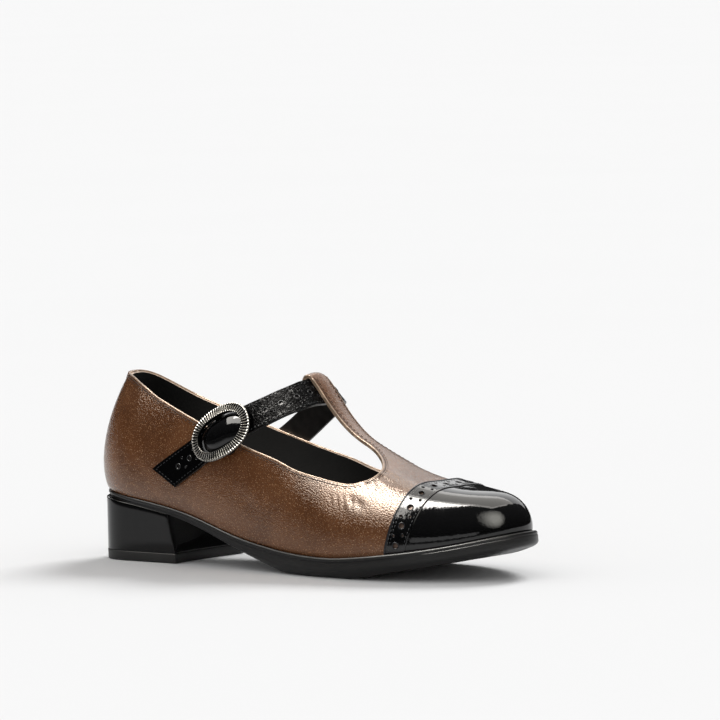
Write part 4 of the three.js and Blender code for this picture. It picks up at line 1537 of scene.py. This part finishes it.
@dataclass
class Strap:
    """The punched strap, from its slanted free end over the instep to the inner side."""

    last: Last
    looks: Finishes
    width: float = 14.5
    thickness: float = 1.8
    gap: float = 0.3
    end_turn: float = 27.0
    start: float = 0.115
    finish: float = 1.83
    hole_pitch: float = 8.0
    first_hole: float = 24.3
    skipped: Pair = (36.0, 78.0)
    big_hole: float = 1.3
    small_hole: float = 0.62
    layer: float = 0.8
    pair_spread: float = 2.5
    past_buckle: float = 1.4
    plain_end: float = 5.0
    sewn_inset: float = 1.35
    centre_blur: float = 14.0
    turn_blur: float = 40.0

    def __post_init__(self) -> None:
        """Read the strap's route."""
        self.route = SmoothTable("up along lift", STRAP_ROUTE, blur=0.008)
        route = np.linspace(0.05, self.finish, 2400)
        centre = self.centre(route)
        steps = np.linalg.norm(np.diff(centre, axis=0), axis=1)
        self._arc = np.concatenate([[0.0], np.cumsum(steps)])
        self._route = route
        normal = self.last.outward(*self._place(route))
        for axis in range(3):
            centre[:, axis] = blurred(centre[:, axis], self.centre_blur)
            normal[:, axis] = blurred(normal[:, axis], self.turn_blur)
        self._centres = centre
        forward = unit(np.gradient(centre, axis=0))
        normal = unit(normal)
        across = unit(np.cross(normal, forward))
        self._forward, self._across, self._out = forward, across, np.cross(forward, across)

    def _place(self, up: Array) -> tuple[Array, Array]:
        """Return the station and rib of the route's points."""
        station = self.last.station(self.route.at("along", up))
        outer = up <= 1
        return np.where(outer, -station, station), np.where(outer, up, 2 - up)

    def centre(self, up: Array) -> Array:
        """Return the strap's middle line."""
        station, rib = self._place(up)
        lift = self.route.at("lift", up) + self.gap + self.thickness / 2
        return self.last.skin(station, rib, lift)

    def arc_at(self, up: float) -> float:
        """Return the distance along the strap at a place on its route."""
        return float(np.interp(up, self._route, self._arc))

    def spot(self, arc: Array, across: Array, height: Array | float = 0.0) -> Array:
        """Return points on the strap: along it, across it and out of its middle layer."""
        side = between(arc, self._arc, self._across) * np.asarray(across)[..., None]
        rise = between(arc, self._arc, self._out) * np.asarray(height)[..., None]
        return between(arc, self._arc, self._centres) + side + rise

    def out(self, arc: Array) -> Array:
        """Return the direction out of the strap."""
        return between(arc, self._arc, self._out)

    def begin(self, across: Array, inset: float = 0.0) -> Array:
        """Return where the strap starts at each place across it, on its slanted end."""
        turn = math.radians(self.end_turn)
        return self.arc_at(self.start) + inset / math.cos(turn) - across * math.tan(turn)

    def _layer(self, name: str, low: float, high: float, finish: Finish, inset: float = 0.0) -> Piece:
        """Model one layer of the strap, and round its edges.

        Args:
            name: The piece's name.
            low: Height of its lower face over the strap's middle.
            high: Height of its upper face.
            finish: Its finish.
            inset: Distance in from the strap's edges.

        Returns:
            The layer.
        """
        work = Workpiece(name, self.last)
        end = self.arc_at(self.finish) - inset

        def place(u: Array, v: Array) -> Array:
            """Return points of its lower face."""
            across = (2 * v - 1) * (self.width / 2 - inset)
            begin = self.begin(across, inset)
            return self.spot(begin + (end - begin) * u, across, low)

        work.grid(230, 12, place, lambda u, v: self.out(u * end))
        piece = work.object((finish, self.looks.paint))
        wall(piece, high - low, inward=False, rim=1)
        rounded_edges(piece, 0.3)
        bake(piece)
        return piece

    def _leather(self) -> Piece:
        """Model and punch the black top layer."""
        half = self.thickness / 2
        piece = self._layer("strap_leather", half - self.layer, half, self.looks.strap)
        punch(piece, self._holes(), 3.0)
        return deliver(piece, "black_patent", "strap")

    def _backing(self) -> Piece:
        """Model the backing that shows through the holes."""
        half = self.thickness / 2
        piece = self._layer("strap_backing", -half, half - self.layer - 0.02, self.looks.backing, 0.1)
        return deliver(piece, "black_patent")

    def _holes(self) -> list[Hole]:
        """Lay out the pattern along the strap."""
        end = self.arc_at(self.finish) - self.plain_end
        arcs = np.arange(self.first_hole, end, self.hole_pitch)
        arcs = arcs[(arcs < self.skipped[0]) | (arcs > self.skipped[1])]
        arcs = arcs + self.past_buckle * (arcs > self.skipped[1])
        holes = []
        for arc in arcs:
            holes.append(self._hole(float(arc), 0.0, self.big_hole))
            for across in (-self.pair_spread, self.pair_spread):
                holes.append(self._hole(float(arc) + self.hole_pitch / 2, across, self.small_hole))
        return holes

    def _hole(self, arc: float, across: float, radius: float) -> Hole:
        """Return one hole of the pattern."""
        point = self.spot(np.array([arc]), np.array([across]), self.thickness / 2)
        return Hole(Vector(self.last.row(point)[0]), Vector(self.out(np.array([arc]))[0]), radius)

    def edge_path(self, inset: float) -> Path:
        """Return a line round the strap's edges, open at its inner end."""
        half = self.width / 2 - inset
        end = self.arc_at(self.finish)
        first, second = self.begin(np.array([-half, half]), inset)
        turn = np.linspace(-half, half, 24)[1:-1]
        arc = np.concatenate([np.linspace(end, first, 500), self.begin(turn, inset), np.linspace(second, end, 500)])
        across = np.concatenate([np.full(500, -half), turn, np.full(500, half)])
        return Path(self.spot(arc, across, self.thickness / 2), self.out(arc))

    def _stitches(self) -> Piece:
        """Sew round the strap's edges."""
        work = Workpiece("strap_stitches", self.last)
        Stitching(pitch=2.1, stitch=1.6, width=0.42).sew(work, self.edge_path(self.sewn_inset), start=1.0)
        return deliver(work.object((self.looks.black_thread,)), "black_patent")

    def build(self) -> list[Piece]:
        """Build the strap."""
        rims = rings("strap_hole_rims", self.last, self._holes(), self.looks.rim, 0.24)
        return [self._leather(), self._backing(), self._stitches(), deliver(rims, "black_patent")]
# the buckle's section: inset from its rim, height, how much the ridges move it, and how bright it is painted, lighter
# on top and darker on the underside and the inner wall as painted light and shade
BUCKLE_SECTION = (
    (4.4, 0.0, 0.0, 0.3),
    (0.5, 0.0, 0.0, 0.3),
    (0.1, 0.25, 0.1, 0.6),
    (0.0, 0.75, 0.25, 1.0),
    (0.12, 1.15, 0.35, 1.2),
    (0.55, 1.4, 0.3, 1.1),
    (0.95, 1.32, 0.7, 0.7),
    (1.5, 1.45, 1.0, 0.6),
    (2.3, 1.62, 1.0, 0.6),
    (3.1, 1.72, 1.0, 0.6),
    (3.7, 1.78, 0.9, 0.6),
    (4.05, 1.9, 0.5, 0.7),
    (4.2, 2.0, 0.0, 0.8),
    (4.36, 1.88, 0.0, 0.6),
    (4.5, 1.3, 0.0, 0.3),
    (4.4, 0.0, 0.0, 0.3),
)


@dataclass
class Buckle:
    """The oval buckle with a ridged frame and a roped edge, over a bar that the strap rides on."""

    last: Last
    looks: Finishes
    strap: Strap
    place: float = 0.352
    reach: float = 0.07
    length: float = 36.2
    width: float = 24.9
    band: float = 4.5
    thickness: float = 2.0
    ride: float = 1.25
    ridges: int = 64
    steps: int = 8
    groove: float = 0.75
    bar: float = 4.0
    bar_thickness: float = 0.8
    squareness: float = 2.3
    crest: float = 2.2
    dome_height: float = 3.2
    dome_sink: float = 1.2
    dome_dip: Pair = (0.3, 3.4)

    def __post_init__(self) -> None:
        """Find the buckle's own axes."""
        strap = self.strap
        arc = strap.arc_at(self.place)
        self.seat = strap.spot(np.array([arc]), np.array([0.0]))[0]
        ends = strap.spot(np.array([strap.arc_at(self.place + d) for d in (-self.reach, self.reach)]), np.zeros(2))
        self.forward = unit(ends[1] - ends[0])
        out = strap.out(np.array([arc]))[0]
        self.across = unit(np.cross(out, self.forward))
        self.up = np.cross(self.forward, self.across)

    def spot(self, a: Array, b: Array, height: Array) -> Array:
        """Return points in the buckle's own axes."""
        return (
            self.seat
            + np.asarray(a)[..., None] * self.forward
            + np.asarray(b)[..., None] * self.across
            + np.asarray(height)[..., None] * self.up
        )

    def outline(self, angle: Array, inset: Array | float) -> tuple[Array, Array]:
        """Return places on the buckle's long oval, inset from its outer edge."""
        power = 2 / self.squareness
        a = np.sign(np.cos(angle)) * np.abs(np.cos(angle)) ** power
        b = np.sign(np.sin(angle)) * np.abs(np.sin(angle)) ** power
        return (self.length / 2 - inset) * a, (self.width / 2 - inset) * b

    def _even(self, u: Array) -> Array:
        """Return angles that step evenly along the oval."""
        dense = np.linspace(0, 2 * math.pi, 4001)
        a, b = self.outline(dense, self.band / 2)
        arc = np.concatenate([[0.0], np.cumsum(np.hypot(np.diff(a), np.diff(b)))])
        return np.interp(u * arc[-1], arc, dense)

    def _profile(self, v: Array) -> tuple[Array, Array, Array, Array]:
        """Return the frame's section: inset, height, how much the ridges move it, and how bright it is painted, with
        painted light and shade.
        """
        rows = np.array(BUCKLE_SECTION)
        inset, height, share, bright = between(v * (len(rows) - 1), np.arange(len(rows)), rows).T
        return inset, self.ride + height, share, bright

    def _frame(self, work: Workpiece) -> None:
        """Model the frame as one ring of profiles."""
        layer = work.bm.verts.layers.float.new("height")
        painted_brightness: list[float] = []

        def place(u: Array, v: Array) -> Array:
            """Return points on the frame, and note how bright each is painted: tarnish in the grooves, with painted
            light on top and painted shade underneath.
            """
            inset, height, share, bright = self._profile(v)
            wave = 0.5 + 0.5 * np.cos(2 * math.pi * self.ridges * u)
            ridge = share * wave**self.crest
            a, b = self.outline(self._even(u), inset)
            # painted light and shade: brighter on top, darker underneath and on the inner wall, with tarnish in the
            # grooves between the ridges
            painted_brightness.extend(bright * (1 - share) + ridge * 1.3)
            return self.spot(a, b, height + (ridge - share) * self.groove)

        def outward(u: Array, v: Array) -> Array:
            """Return directions away from the middle of the frame's section."""
            inset, height, _, _ = self._profile(v)
            angle = self._even(u)
            ring = self.spot(*self.outline(angle, self.band / 2), self.ride + self.thickness / 2)
            return unit(self.spot(*self.outline(angle, inset), height) - ring)

        first = len(work.bm.verts)
        work.grid(self.ridges * self.steps, 15, place, outward)
        work.bm.verts.ensure_lookup_table()
        for vert, value in zip(work.bm.verts[first:], painted_brightness):
            vert[layer] = float(value)

    def _beam(self, work: Workpiece, b: Pair, height: Pair) -> None:
        """Add a bar or a post with rounded edges."""
        made = bmesh.ops.create_cube(work.bm, size=1.0)["verts"]
        low, high = np.array([-self.bar / 2, b[0], height[0]]), np.array([self.bar / 2, b[1], height[1]])
        spots = low + (np.array([v.co for v in made]) + 0.5) * (high - low)
        for vert, point in zip(made, self.last.row(self.spot(*spots.T))):
            vert.co = point
        bmesh.ops.recalc_face_normals(work.bm, faces=faces_of(made))
        edges = edges_of(made)
        bmesh.ops.bevel(work.bm, geom=edges, offset=0.25 * MM, affect="EDGES", segments=2, profile=0.5, material=-1)

    def _dome(self) -> Piece:
        """Model the strap's leather where it bulges up through the frame."""
        work = Workpiece("strap_bulge", self.last)
        foot = self.strap.thickness / 2

        def place(u: Array, v: Array) -> Array:
            """Return points on the bulge, from its middle out."""
            a, b = self.outline(2 * math.pi * u, self.band - 0.35)
            swell = np.clip(1 - v**2.2, 0, 1) ** 0.85
            dip = self.dome_dip[0] * np.exp(-(((v * a) / self.dome_dip[1]) ** 2)) * v**2
            height = foot - self.dome_sink + (self.dome_height + self.dome_sink - foot) * swell - dip
            return self.spot(v * a, v * b, height)

        work.grid(72, 20, place, steady(*self.up))
        work.weld(0.01)
        return deliver(work.object((self.looks.dome,), crisp=80), "black_patent")

    def build(self) -> list[Piece]:
        """Build the frame, its bar and its posts."""
        work = Workpiece("oval_buckle", self.last)
        self._frame(work)
        work.weld(0.004)
        top = -self.strap.thickness / 2 - 0.42
        ends = self.width / 2 - 1.2
        post = self.strap.width / 2 + 0.3
        self._beam(work, (-ends, ends), (top - self.bar_thickness, top))
        self._beam(work, (-ends, -post), (top - 0.1, self.ride + 0.5))
        self._beam(work, (post, ends), (top - 0.1, self.ride + 0.5))
        return [deliver(work.object((self.looks.silver,), crisp=60), "old_silver", "buckle"), self._dome()]


# --- bottom
# the sole's sections, each at a share of the last's length
SOLE_SECTIONS = (
    (0.0, 1.4, 2.2, 0.0, 0.4),
    (0.12, 1.4, 2.5, 0.0, 0.4),
    (0.25, 1.4, 3.4, 0.3, 1.0),
    (0.4, 1.6, 5.0, 1.2, 2.5),
    (0.5, 2.2, 6.0, 3.6, 4.0),
    (0.58, 3.0, 6.0, 4.6, 5.0),
    (0.67, 3.4, 5.6, 4.6, 5.0),
    (0.78, 3.8, 5.4, 3.4, 4.5),
    (0.89, 4.0, 5.6, 3.4, 4.5),
    (1.0, 4.2, 5.2, 3.0, 4.0),
)


@dataclass
class Sole:
    """The outsole, the insole, the heel block and its top piece."""

    last: Last
    looks: Finishes
    gap: float = 0.3
    lip_height: float = 1.4
    lip_step: float = 0.7
    lip_rise: float = 0.6
    heel_half_width: float = 27.5
    heel_back: float = 0.4
    heel_length: float = 52.6
    breast_slope: float = 4.4
    breast_hollow: float = 1.2
    heel_curve: float = 22.0
    heel_power: float = 2.4
    top_piece: float = 4.6
    heel_flare: float = 0.3
    tread_depth: float = 0.35
    tread_pitch: float = 4.2
    tread_slant: float = 0.25
    toe_rise: float = 1.2
    toe_lip_in: float = 0.62
    toe_from: Pair = (0.72, 0.93)
    upper_wall: float = 1.8
    spine: float = 0.07
    sock_spine: float = 0.05
    sock: tuple[Pair, ...] = ((0, 0), (1, 0), (1, 1.6), (0.985, 2.4), (0.96, 2.6), (0.8, 2.5), (0.5, 2.35), (0, 2.3))
    side_cells: int = 330
    rows: int = 26

    def __post_init__(self) -> None:
        """Read the sole's sections."""
        self.sections = SmoothTable("at margin side drop bevel", SOLE_SECTIONS, blur=0.014)

    def part(self, name: str, x: Array) -> Array:
        """Return a sole column at places in millimetres."""
        return self.sections.at(name, x / self.last.length)

    def _heights(self, x: Array) -> tuple[Array, Array, Array, Array]:
        """Return the heights of the sole's top, its lip's underside, its edge and its tread."""
        top = self.last.seam_height(x) - self.gap
        lip = top - np.minimum(self.lip_height, self.part("side", x) / 2)
        edge = top - self.part("side", x)
        tread = np.maximum(edge - self.part("drop", x), 0.0)
        return top, lip, edge, tread

    def _outsole(self) -> Piece:
        """Model the sole's side, lip and tread as one closed form."""
        work = Workpiece("outsole_rubber", self.last)
        spine = self.spine * self.last.ball_half_width

        def place(u: Array, v: Array) -> Array:
            """Return points round the sole's section, from the tread's middle out and up to the top's middle."""
            station = 2 * u - 1
            x = self.last.seam(station)[:, 0]
            margin = self.part("margin", x)
            table, below = self._section(x, margin)
            which = np.round(v * self.rows).astype(int)
            out = np.zeros((len(u), 3))
            for row, (inset, height, run) in enumerate(table):
                pick = which == row
                spot = self.last.seam(station[pick], (margin - inset)[pick])
                y = spot[:, 1] + (spine - spot[:, 1]) * run
                out[pick] = np.stack([spot[:, 0], y, height[pick] + self._tread(spot[:, 0], y, row, below)], axis=-1)
            return out

        def outward(u: Array, v: Array) -> Array:
            """Return directions down under the sole, out at its side and up on top."""
            level = self.last.outward(2 * u - 1, np.zeros_like(u))
            return level + ((v > 0.9) * 3.0 - (v < 0.24) * 3.0)[:, None] * np.array([0.0, 0.0, 1.0])

        work.grid(self.side_cells, self.rows, place, outward)
        work.weld(0.01)
        bmesh.ops.dissolve_degenerate(work.bm, dist=0.001 * MM, edges=work.bm.edges[:])
        return deliver(work.object((self.looks.rubber,), crisp=60), "sole_rubber", "outsole")

    def _section(self, x: Array, margin: Array) -> tuple[list[tuple[Array, Array, float]], int]:
        """Lay out the sole's section at each place.

        Args:
            x: Places along the last, in millimetres.
            margin: How far the sole stands out from the feather line there.

        Returns:
            Rows of inset from the margin, height and share of the way to the middle, and how many are tread.
        """
        top, lip, edge, tread = self._heights(x)
        bevel = self.part("bevel", x)
        toe = smoothstep(*self.toe_from, x / self.last.length)
        step = self.lip_step * (1 - toe) + 0.1 * toe
        tread = tread + self.toe_rise * toe
        lip_in = self.toe_lip_in * toe
        rise = top + self.lip_rise
        # share of the bevel, and share of the way from the tread to the edge
        curve = ((1.0, 0.0), (0.8, 0.04), (0.55, 0.22), (0.28, 0.56))
        side = [
            *((step + b * bevel, tread + h * (edge - tread)) for b, h in curve),
            (step + 0.09 * bevel, edge - 0.08 * (edge - tread)),
            (step, edge + 0.35 + 0.5 * toe),
            (step, (edge + lip) / 2),
            (step + 0.12, lip - 0.25),
            (step - 0.1 + 0.35 * lip_in, lip),
            (0.25 + 0.55 * lip_in, lip + 0.05 + 0.2 * toe),
            (0.02 + 0.75 * lip_in, lip + 0.3 + 0.3 * toe),
            (lip_in, top - 0.2 + 0.2 * toe),
            (0.06 + 1.2 * lip_in, rise - 0.35 + 0.1 * toe),
            (0.4 + 1.3 * lip_in, rise - 0.04),
            (0.3 * margin + 0.3 + 0.9 * lip_in, rise),
            (0.75 * margin, rise - 0.1),
            (margin, top + 0.2),
            (margin + 1.5, top),
        ]
        below = [(step + bevel, tread, share) for share in (1.0, 0.8, 0.6, 0.4, 0.2, 0.04)]
        over = [(margin + 1.5, top, share) for share in (0.5, 1.0, 1.0)]
        return below + [(inset, height, 0.0) for inset, height in side] + over, len(below)

    def _tread(self, x: Array, y: Array, row: int, below: int) -> Array:
        """Return the height of the fine ribs under the forefoot and the waist."""
        if row > below:
            return np.zeros_like(x)
        share = x / self.last.length
        ahead = smoothstep(0.46, 0.5, share) * (1 - smoothstep(0.97, 0.99, share))
        phase = (x + self.tread_slant * np.abs(y)) / self.tread_pitch
        return self.tread_depth * ahead * (0.5 - 0.5 * np.cos(2 * math.pi * phase))

    def _insole(self) -> Piece:
        """Model the padded sock over the insole."""
        work = Workpiece("sock_lining", self.last)
        levels = np.array(self.sock)
        spine = self.sock_spine * self.last.ball_half_width

        def place(u: Array, v: Array) -> Array:
            """Return points round the sock's section."""
            share, rise = between(v * (len(levels) - 1), np.arange(len(levels)), levels).T
            edge = self.last.seam(2 * u - 1, -self.upper_wall - self.gap)
            return np.stack([edge[:, 0], spine + (edge[:, 1] - spine) * share, edge[:, 2] + rise], axis=-1)

        def outward(u: Array, v: Array) -> Array:
            """Return directions up on top and down underneath."""
            return np.where((v > 0.4)[:, None], [0.0, 0.0, 1.0], [0.0, 0.0, -0.5])

        work.grid(160, 21, place, outward)
        work.weld(0.01)
        return deliver(work.object((self.looks.lining,), crisp=50), "lining", "insole")

    def _outline(self, front: float, widen: float) -> list[Pair]:
        """Return the heel's D-shaped outline, from the breast's outer corner round the back to its inner one."""
        depth = front * (1 - np.cos(math.pi / 2 * np.linspace(0, 1, 40)))
        width = (self.heel_half_width + widen) * rounded(depth, self.heel_curve, self.heel_power)
        outer = [(x, -y) for x, y in zip(depth[::-1], width[::-1])]
        inner = list(zip(depth[1:], width[1:]))
        breast = [
            (front - self.breast_hollow * (1 - t * t), width[-1] * t) for t in (1 - 2 * i / 16 for i in range(1, 16))
        ]
        return outer + inner + breast

    def _block(self, name: str, levels: Sequence[Level], finish: Finish, soften: float) -> Piece:
        """Model a D-shaped block by raising an outline through its levels.

        Args:
            name: The piece's name.
            levels: For each level its length, its height by place along the shoe, and its extra half width.
            finish: Its material.
            soften: Width of its rounded edges.

        Returns:
            The block.
        """
        work = Workpiece(name, self.last)
        front, height, widen = levels[0]
        outline = self._outline(front, widen)
        ring = bmesh.ops.create_circle(work.bm, cap_ends=True, radius=0.01, segments=len(outline))["verts"]
        self._lay(ring, outline, height)
        face = next(iter(ring[0].link_faces))
        for i, (front, height, widen) in enumerate(levels[1:]):
            raised = bmesh.ops.extrude_face_region(work.bm, geom=[face])["geom"]
            if i:
                bmesh.ops.delete(work.bm, geom=[face], context="FACES_ONLY")
            face = next(item for item in raised if isinstance(item, bmesh.types.BMFace))
            self._lay(list(face.verts), self._outline(front, widen), height)
        bmesh.ops.recalc_face_normals(work.bm, faces=work.bm.faces[:])
        piece = work.object((finish,), crisp=35)
        rounded_edges(piece, soften, segments=3, angle=32)
        bake(piece, crisp=45)
        return piece

    def _lay(self, ring: Verts, outline: Sequence[Pair], height: Callable[[float], float]) -> None:
        """Move a ring's points onto an outline."""
        points = np.array([(self.heel_back + x, y, height(self.heel_back + x)) for x, y in outline])
        for vert, point in zip(ring, self.last.row(points)):
            vert.co = point

    def _heel(self) -> list[Piece]:
        """Model the heel block and its top piece."""
        base = self.top_piece + 0.12

        def level(share: float) -> Callable[[float], float]:
            """Return heights at a share of the way from the top piece to the sole."""

            def height(x: float) -> float:
                """Return the height at one place along the shoe."""
                sole_edge = float(self._heights(np.array([x]))[2][0]) - 0.05
                return base + (sole_edge - base) * share

            return height

        def flat(height: float) -> Callable[[float], float]:
            """Return the same height everywhere."""
            return lambda x: height

        narrow = self.heel_flare / 2
        levels = [
            (self.heel_length - self.breast_slope * s, level(s), self.heel_flare * s**3 - narrow)
            for s in (0.0, 0.3, 0.55, 0.75, 0.88, 1.0)
        ]
        block = self._block("heel_block", levels, self.looks.heel, 0.5)
        levels = [(self.heel_length, flat(0.0), -0.4), (self.heel_length, flat(self.top_piece), -narrow)]
        tip = self._block("heel_top_piece", levels, self.looks.tip, 0.3)
        return [deliver(block, "heel_gloss", "heel"), deliver(tip, "sole_rubber", "top_piece")]

    def build(self) -> list[Piece]:
        """Build everything below the upper."""
        return [self._outsole(), self._insole(), *self._heel()]


# --- studio


@dataclass
class Studio:
    """The photograph's camera, a pale floor and soft light."""

    last: Last
    azimuth: float = 36.5
    elevation: float = 4.4
    roll: float = 0.9
    distance: float = 3000.0
    focal: float = 6210.0
    frame: float = 720.0
    sensor: float = 36.0
    aim: tuple[float, float, float] = (121.53328, 32.46876, 96.70628)
    warm: tuple[float, float, float] = (1.0, 0.965, 0.91)
    floor_radius: float = 26.0
    floor_drop: float = 0.0002
    sun_power: float = 2.27
    sun_angle: float = 24.0
    sun_aim: tuple[float, float, float] = (0.1, -1.05, -1.0)
    lamp_size: Pair = (0.78, 1.45)
    lamp_power: float = 2.9

    def camera(self) -> Piece:
        """Place the camera."""
        a, e, g = (math.radians(v) for v in (self.azimuth, self.elevation, self.roll))
        back = Vector((math.sin(a) * math.cos(e), -math.cos(a) * math.cos(e), math.sin(e)))
        right = Vector((math.cos(a), math.sin(a), 0.0))
        up = back.cross(right)
        right, up = right * math.cos(g) - up * math.sin(g), up * math.cos(g) + right * math.sin(g)
        data = bpy.data.cameras.new("photo_camera")
        data.sensor_fit = "HORIZONTAL"
        data.sensor_width = self.sensor
        data.lens = self.focal * self.sensor / self.frame
        data.clip_end = 60.0
        target = Vector(self.last.row(np.array([self.aim]))[0])
        turn = Matrix((right, up, back)).transposed().to_4x4()
        camera = added("photo_camera", data)
        camera.matrix_world = Matrix.Translation(target + back * self.distance * MM) @ turn
        bpy.context.scene.camera = camera
        return camera

    @staticmethod
    def _softbox(name: str, spot: Triple, aim: Triple, size: Pair, power: float) -> Lamp:
        """Add an area light that faces a spot.

        Args:
            name: The light's name.
            spot: Where it stands, in metres.
            aim: The spot that it faces.
            size: Its width and height.
            power: Its power in watts.

        Returns:
            The light's data.
        """
        data = bpy.data.lights.new(name, "AREA")
        data.shape = "RECTANGLE"
        data.size, data.size_y = size
        data.energy = power
        light = added(name, data)
        light.visible_diffuse = False
        light.visible_camera = False
        light.location = spot
        light.rotation_euler = (Vector(aim) - Vector(spot)).to_track_quat("-Z", "Y").to_euler()
        return data

    def floor(self) -> Piece:
        """Make the pale floor."""
        bm = bmesh.new()
        bmesh.ops.create_circle(bm, cap_ends=True, segments=96, radius=self.floor_radius)
        mesh = bpy.data.meshes.new("floor")
        bm.to_mesh(mesh)
        bm.free()
        floor = added("floor", mesh)
        floor.location.z = -self.floor_drop
        material = bpy.data.materials.new("pale_floor")
        material.use_nodes = True
        nodes = Nodes(material.node_tree)
        shader = nodes.add("ShaderNodeBsdfPrincipled")
        place = nodes.add("ShaderNodeTexCoord").outputs["Object"]
        tone = nodes.blend(nodes.noise(place, 3.0, 2.0), grey(0.79), grey(0.80))
        front = nodes.ramp(nodes.add("ShaderNodeSeparateXYZ", {"Vector": place}).outputs["Y"], -0.27, -0.16)
        seen = nodes.add("ShaderNodeLightPath").outputs["Is Glossy Ray"]
        mirrored = nodes.blend(front, grey(0.05), tone)
        link(nodes, shader, Base_Color=nodes.blend(seen, tone, mirrored), Roughness=0.9, Specular_IOR_Level=0.0)
        nodes.add("ShaderNodeOutputMaterial", {"Surface": shader.outputs[0]})
        mesh.materials.append(material)
        return floor

    def world(self) -> None:
        """Make the room: white where the camera sees it, and darker at eye level in reflections."""
        world = bpy.data.worlds.new("room")
        bpy.context.scene.world = world
        world.use_nodes = True
        nodes = Nodes(world.node_tree)
        place = nodes.add("ShaderNodeTexCoord").outputs["Generated"]
        height = nodes.add("ShaderNodeSeparateXYZ", {"Vector": place}).outputs["Z"]
        level = nodes.ramp(height, 0.1, 0.9)
        glossy = nodes.blend(level, grey(0.02), rgba(0.12, 0.12, 0.122))
        mirror = nodes.add("ShaderNodeLightPath").outputs["Is Glossy Ray"]
        colour = nodes.blend(mirror, grey(0.69), glossy)
        room = nodes.add("ShaderNodeBackground", {"Color": colour, "Strength": 1.0}).outputs[0]
        white = nodes.add("ShaderNodeBackground", {"Color": grey(0.94), "Strength": 1.0}).outputs[0]
        seen = nodes.add("ShaderNodeLightPath").outputs["Is Camera Ray"]
        mixed = nodes.add("ShaderNodeMixShader", {"0": seen, "1": room, "2": white}).outputs[0]
        nodes.add("ShaderNodeOutputWorld", {"Surface": mixed})

    def lights(self) -> None:
        """Place the lights."""
        data = bpy.data.lights.new("sky_light", "SUN")
        data.energy = self.sun_power
        data.angle = math.radians(self.sun_angle)
        data.specular_factor = 0.0
        sun = added("sky_light", data)
        sun.visible_glossy = False
        sun.rotation_euler = Vector(self.sun_aim).to_track_quat("-Z", "Y").to_euler()
        # name, place along and across the shoe and height, size, power: each faces straight down
        for name, x, y, z, size, power in (
            ("big_box", -0.68, -1.07, 1.5, (1.72, 1.96), 82.0),
            ("box_core", -0.34, -0.66, 1.49, (1.02, 0.9), 55.0),
            ("box_heart", -0.12, -0.6, 1.48, (0.5, 0.62), 17.0),
            ("zenith", -0.2, 0.56, 1.5, (1.4, 1.36), 17.0),
            ("top_fill", 0.38, 0.2, 1.5, (0.4, 0.9), 5.6),
        ):
            self._softbox(name, (x, y, z), (x, y, 0.0), size, power).color = self.warm
        self._softbox("back_wall", self.sky(120.0, 38.0, 2.2), (0.0, 0.0, 0.04), (2.6, 1.7), 22.0)
        self._softbox("low_card", self.sky(-63.0, 3.5, 1.5), (0.1, 0.0, 0.03), (0.75, 0.2), 0.42)
        wide, high = self.lamp_size
        for step, reach in enumerate((1.5, 1.28, 1.06, 0.84, 0.6)):
            spot = self.sky(-33.0, 36.0, 2.2 + 0.01 * step)
            size, power = (wide * reach, high * reach), self.lamp_power * reach**2
            lamp = self._softbox("round_lamp_%d" % step, spot, (0.11, 0.0, 0.03), size, power)
            lamp.shape, lamp.color = "ELLIPSE", (1.0, 0.98, 0.9)

    @staticmethod
    def sky(azimuth: float, elevation: float, distance: float) -> Vector:
        """Return the place at a direction and a distance from the shoe."""
        a, e = math.radians(azimuth), math.radians(elevation)
        return distance * Vector((math.cos(a) * math.cos(e), math.sin(a) * math.cos(e), math.sin(e)))

    def build(self) -> None:
        """Build the studio."""
        self.camera()
        self.floor()
        self.world()
        self.lights()
        view = bpy.context.scene.view_settings
        view.view_transform = "Standard"
        view.look = "None"


def main() -> None:
    """Build the shoe around its frame."""
    logging.basicConfig(level=logging.INFO, format="%(name)s: %(message)s")
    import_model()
    low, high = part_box("top_piece")
    last = Last(shift=Vector((low.x - Sole.heel_back * MM, (low.y + high.y) / 2, low.z)))
    Studio(last).build()
    looks = Finishes()
    strap = Strap(last, looks)
    for assembly in (Upper(last, looks), ToeCap(last, looks), strap, Buckle(last, looks, strap), Sole(last, looks)):
        assembly.build()


if __name__ == "__main__":
    main()
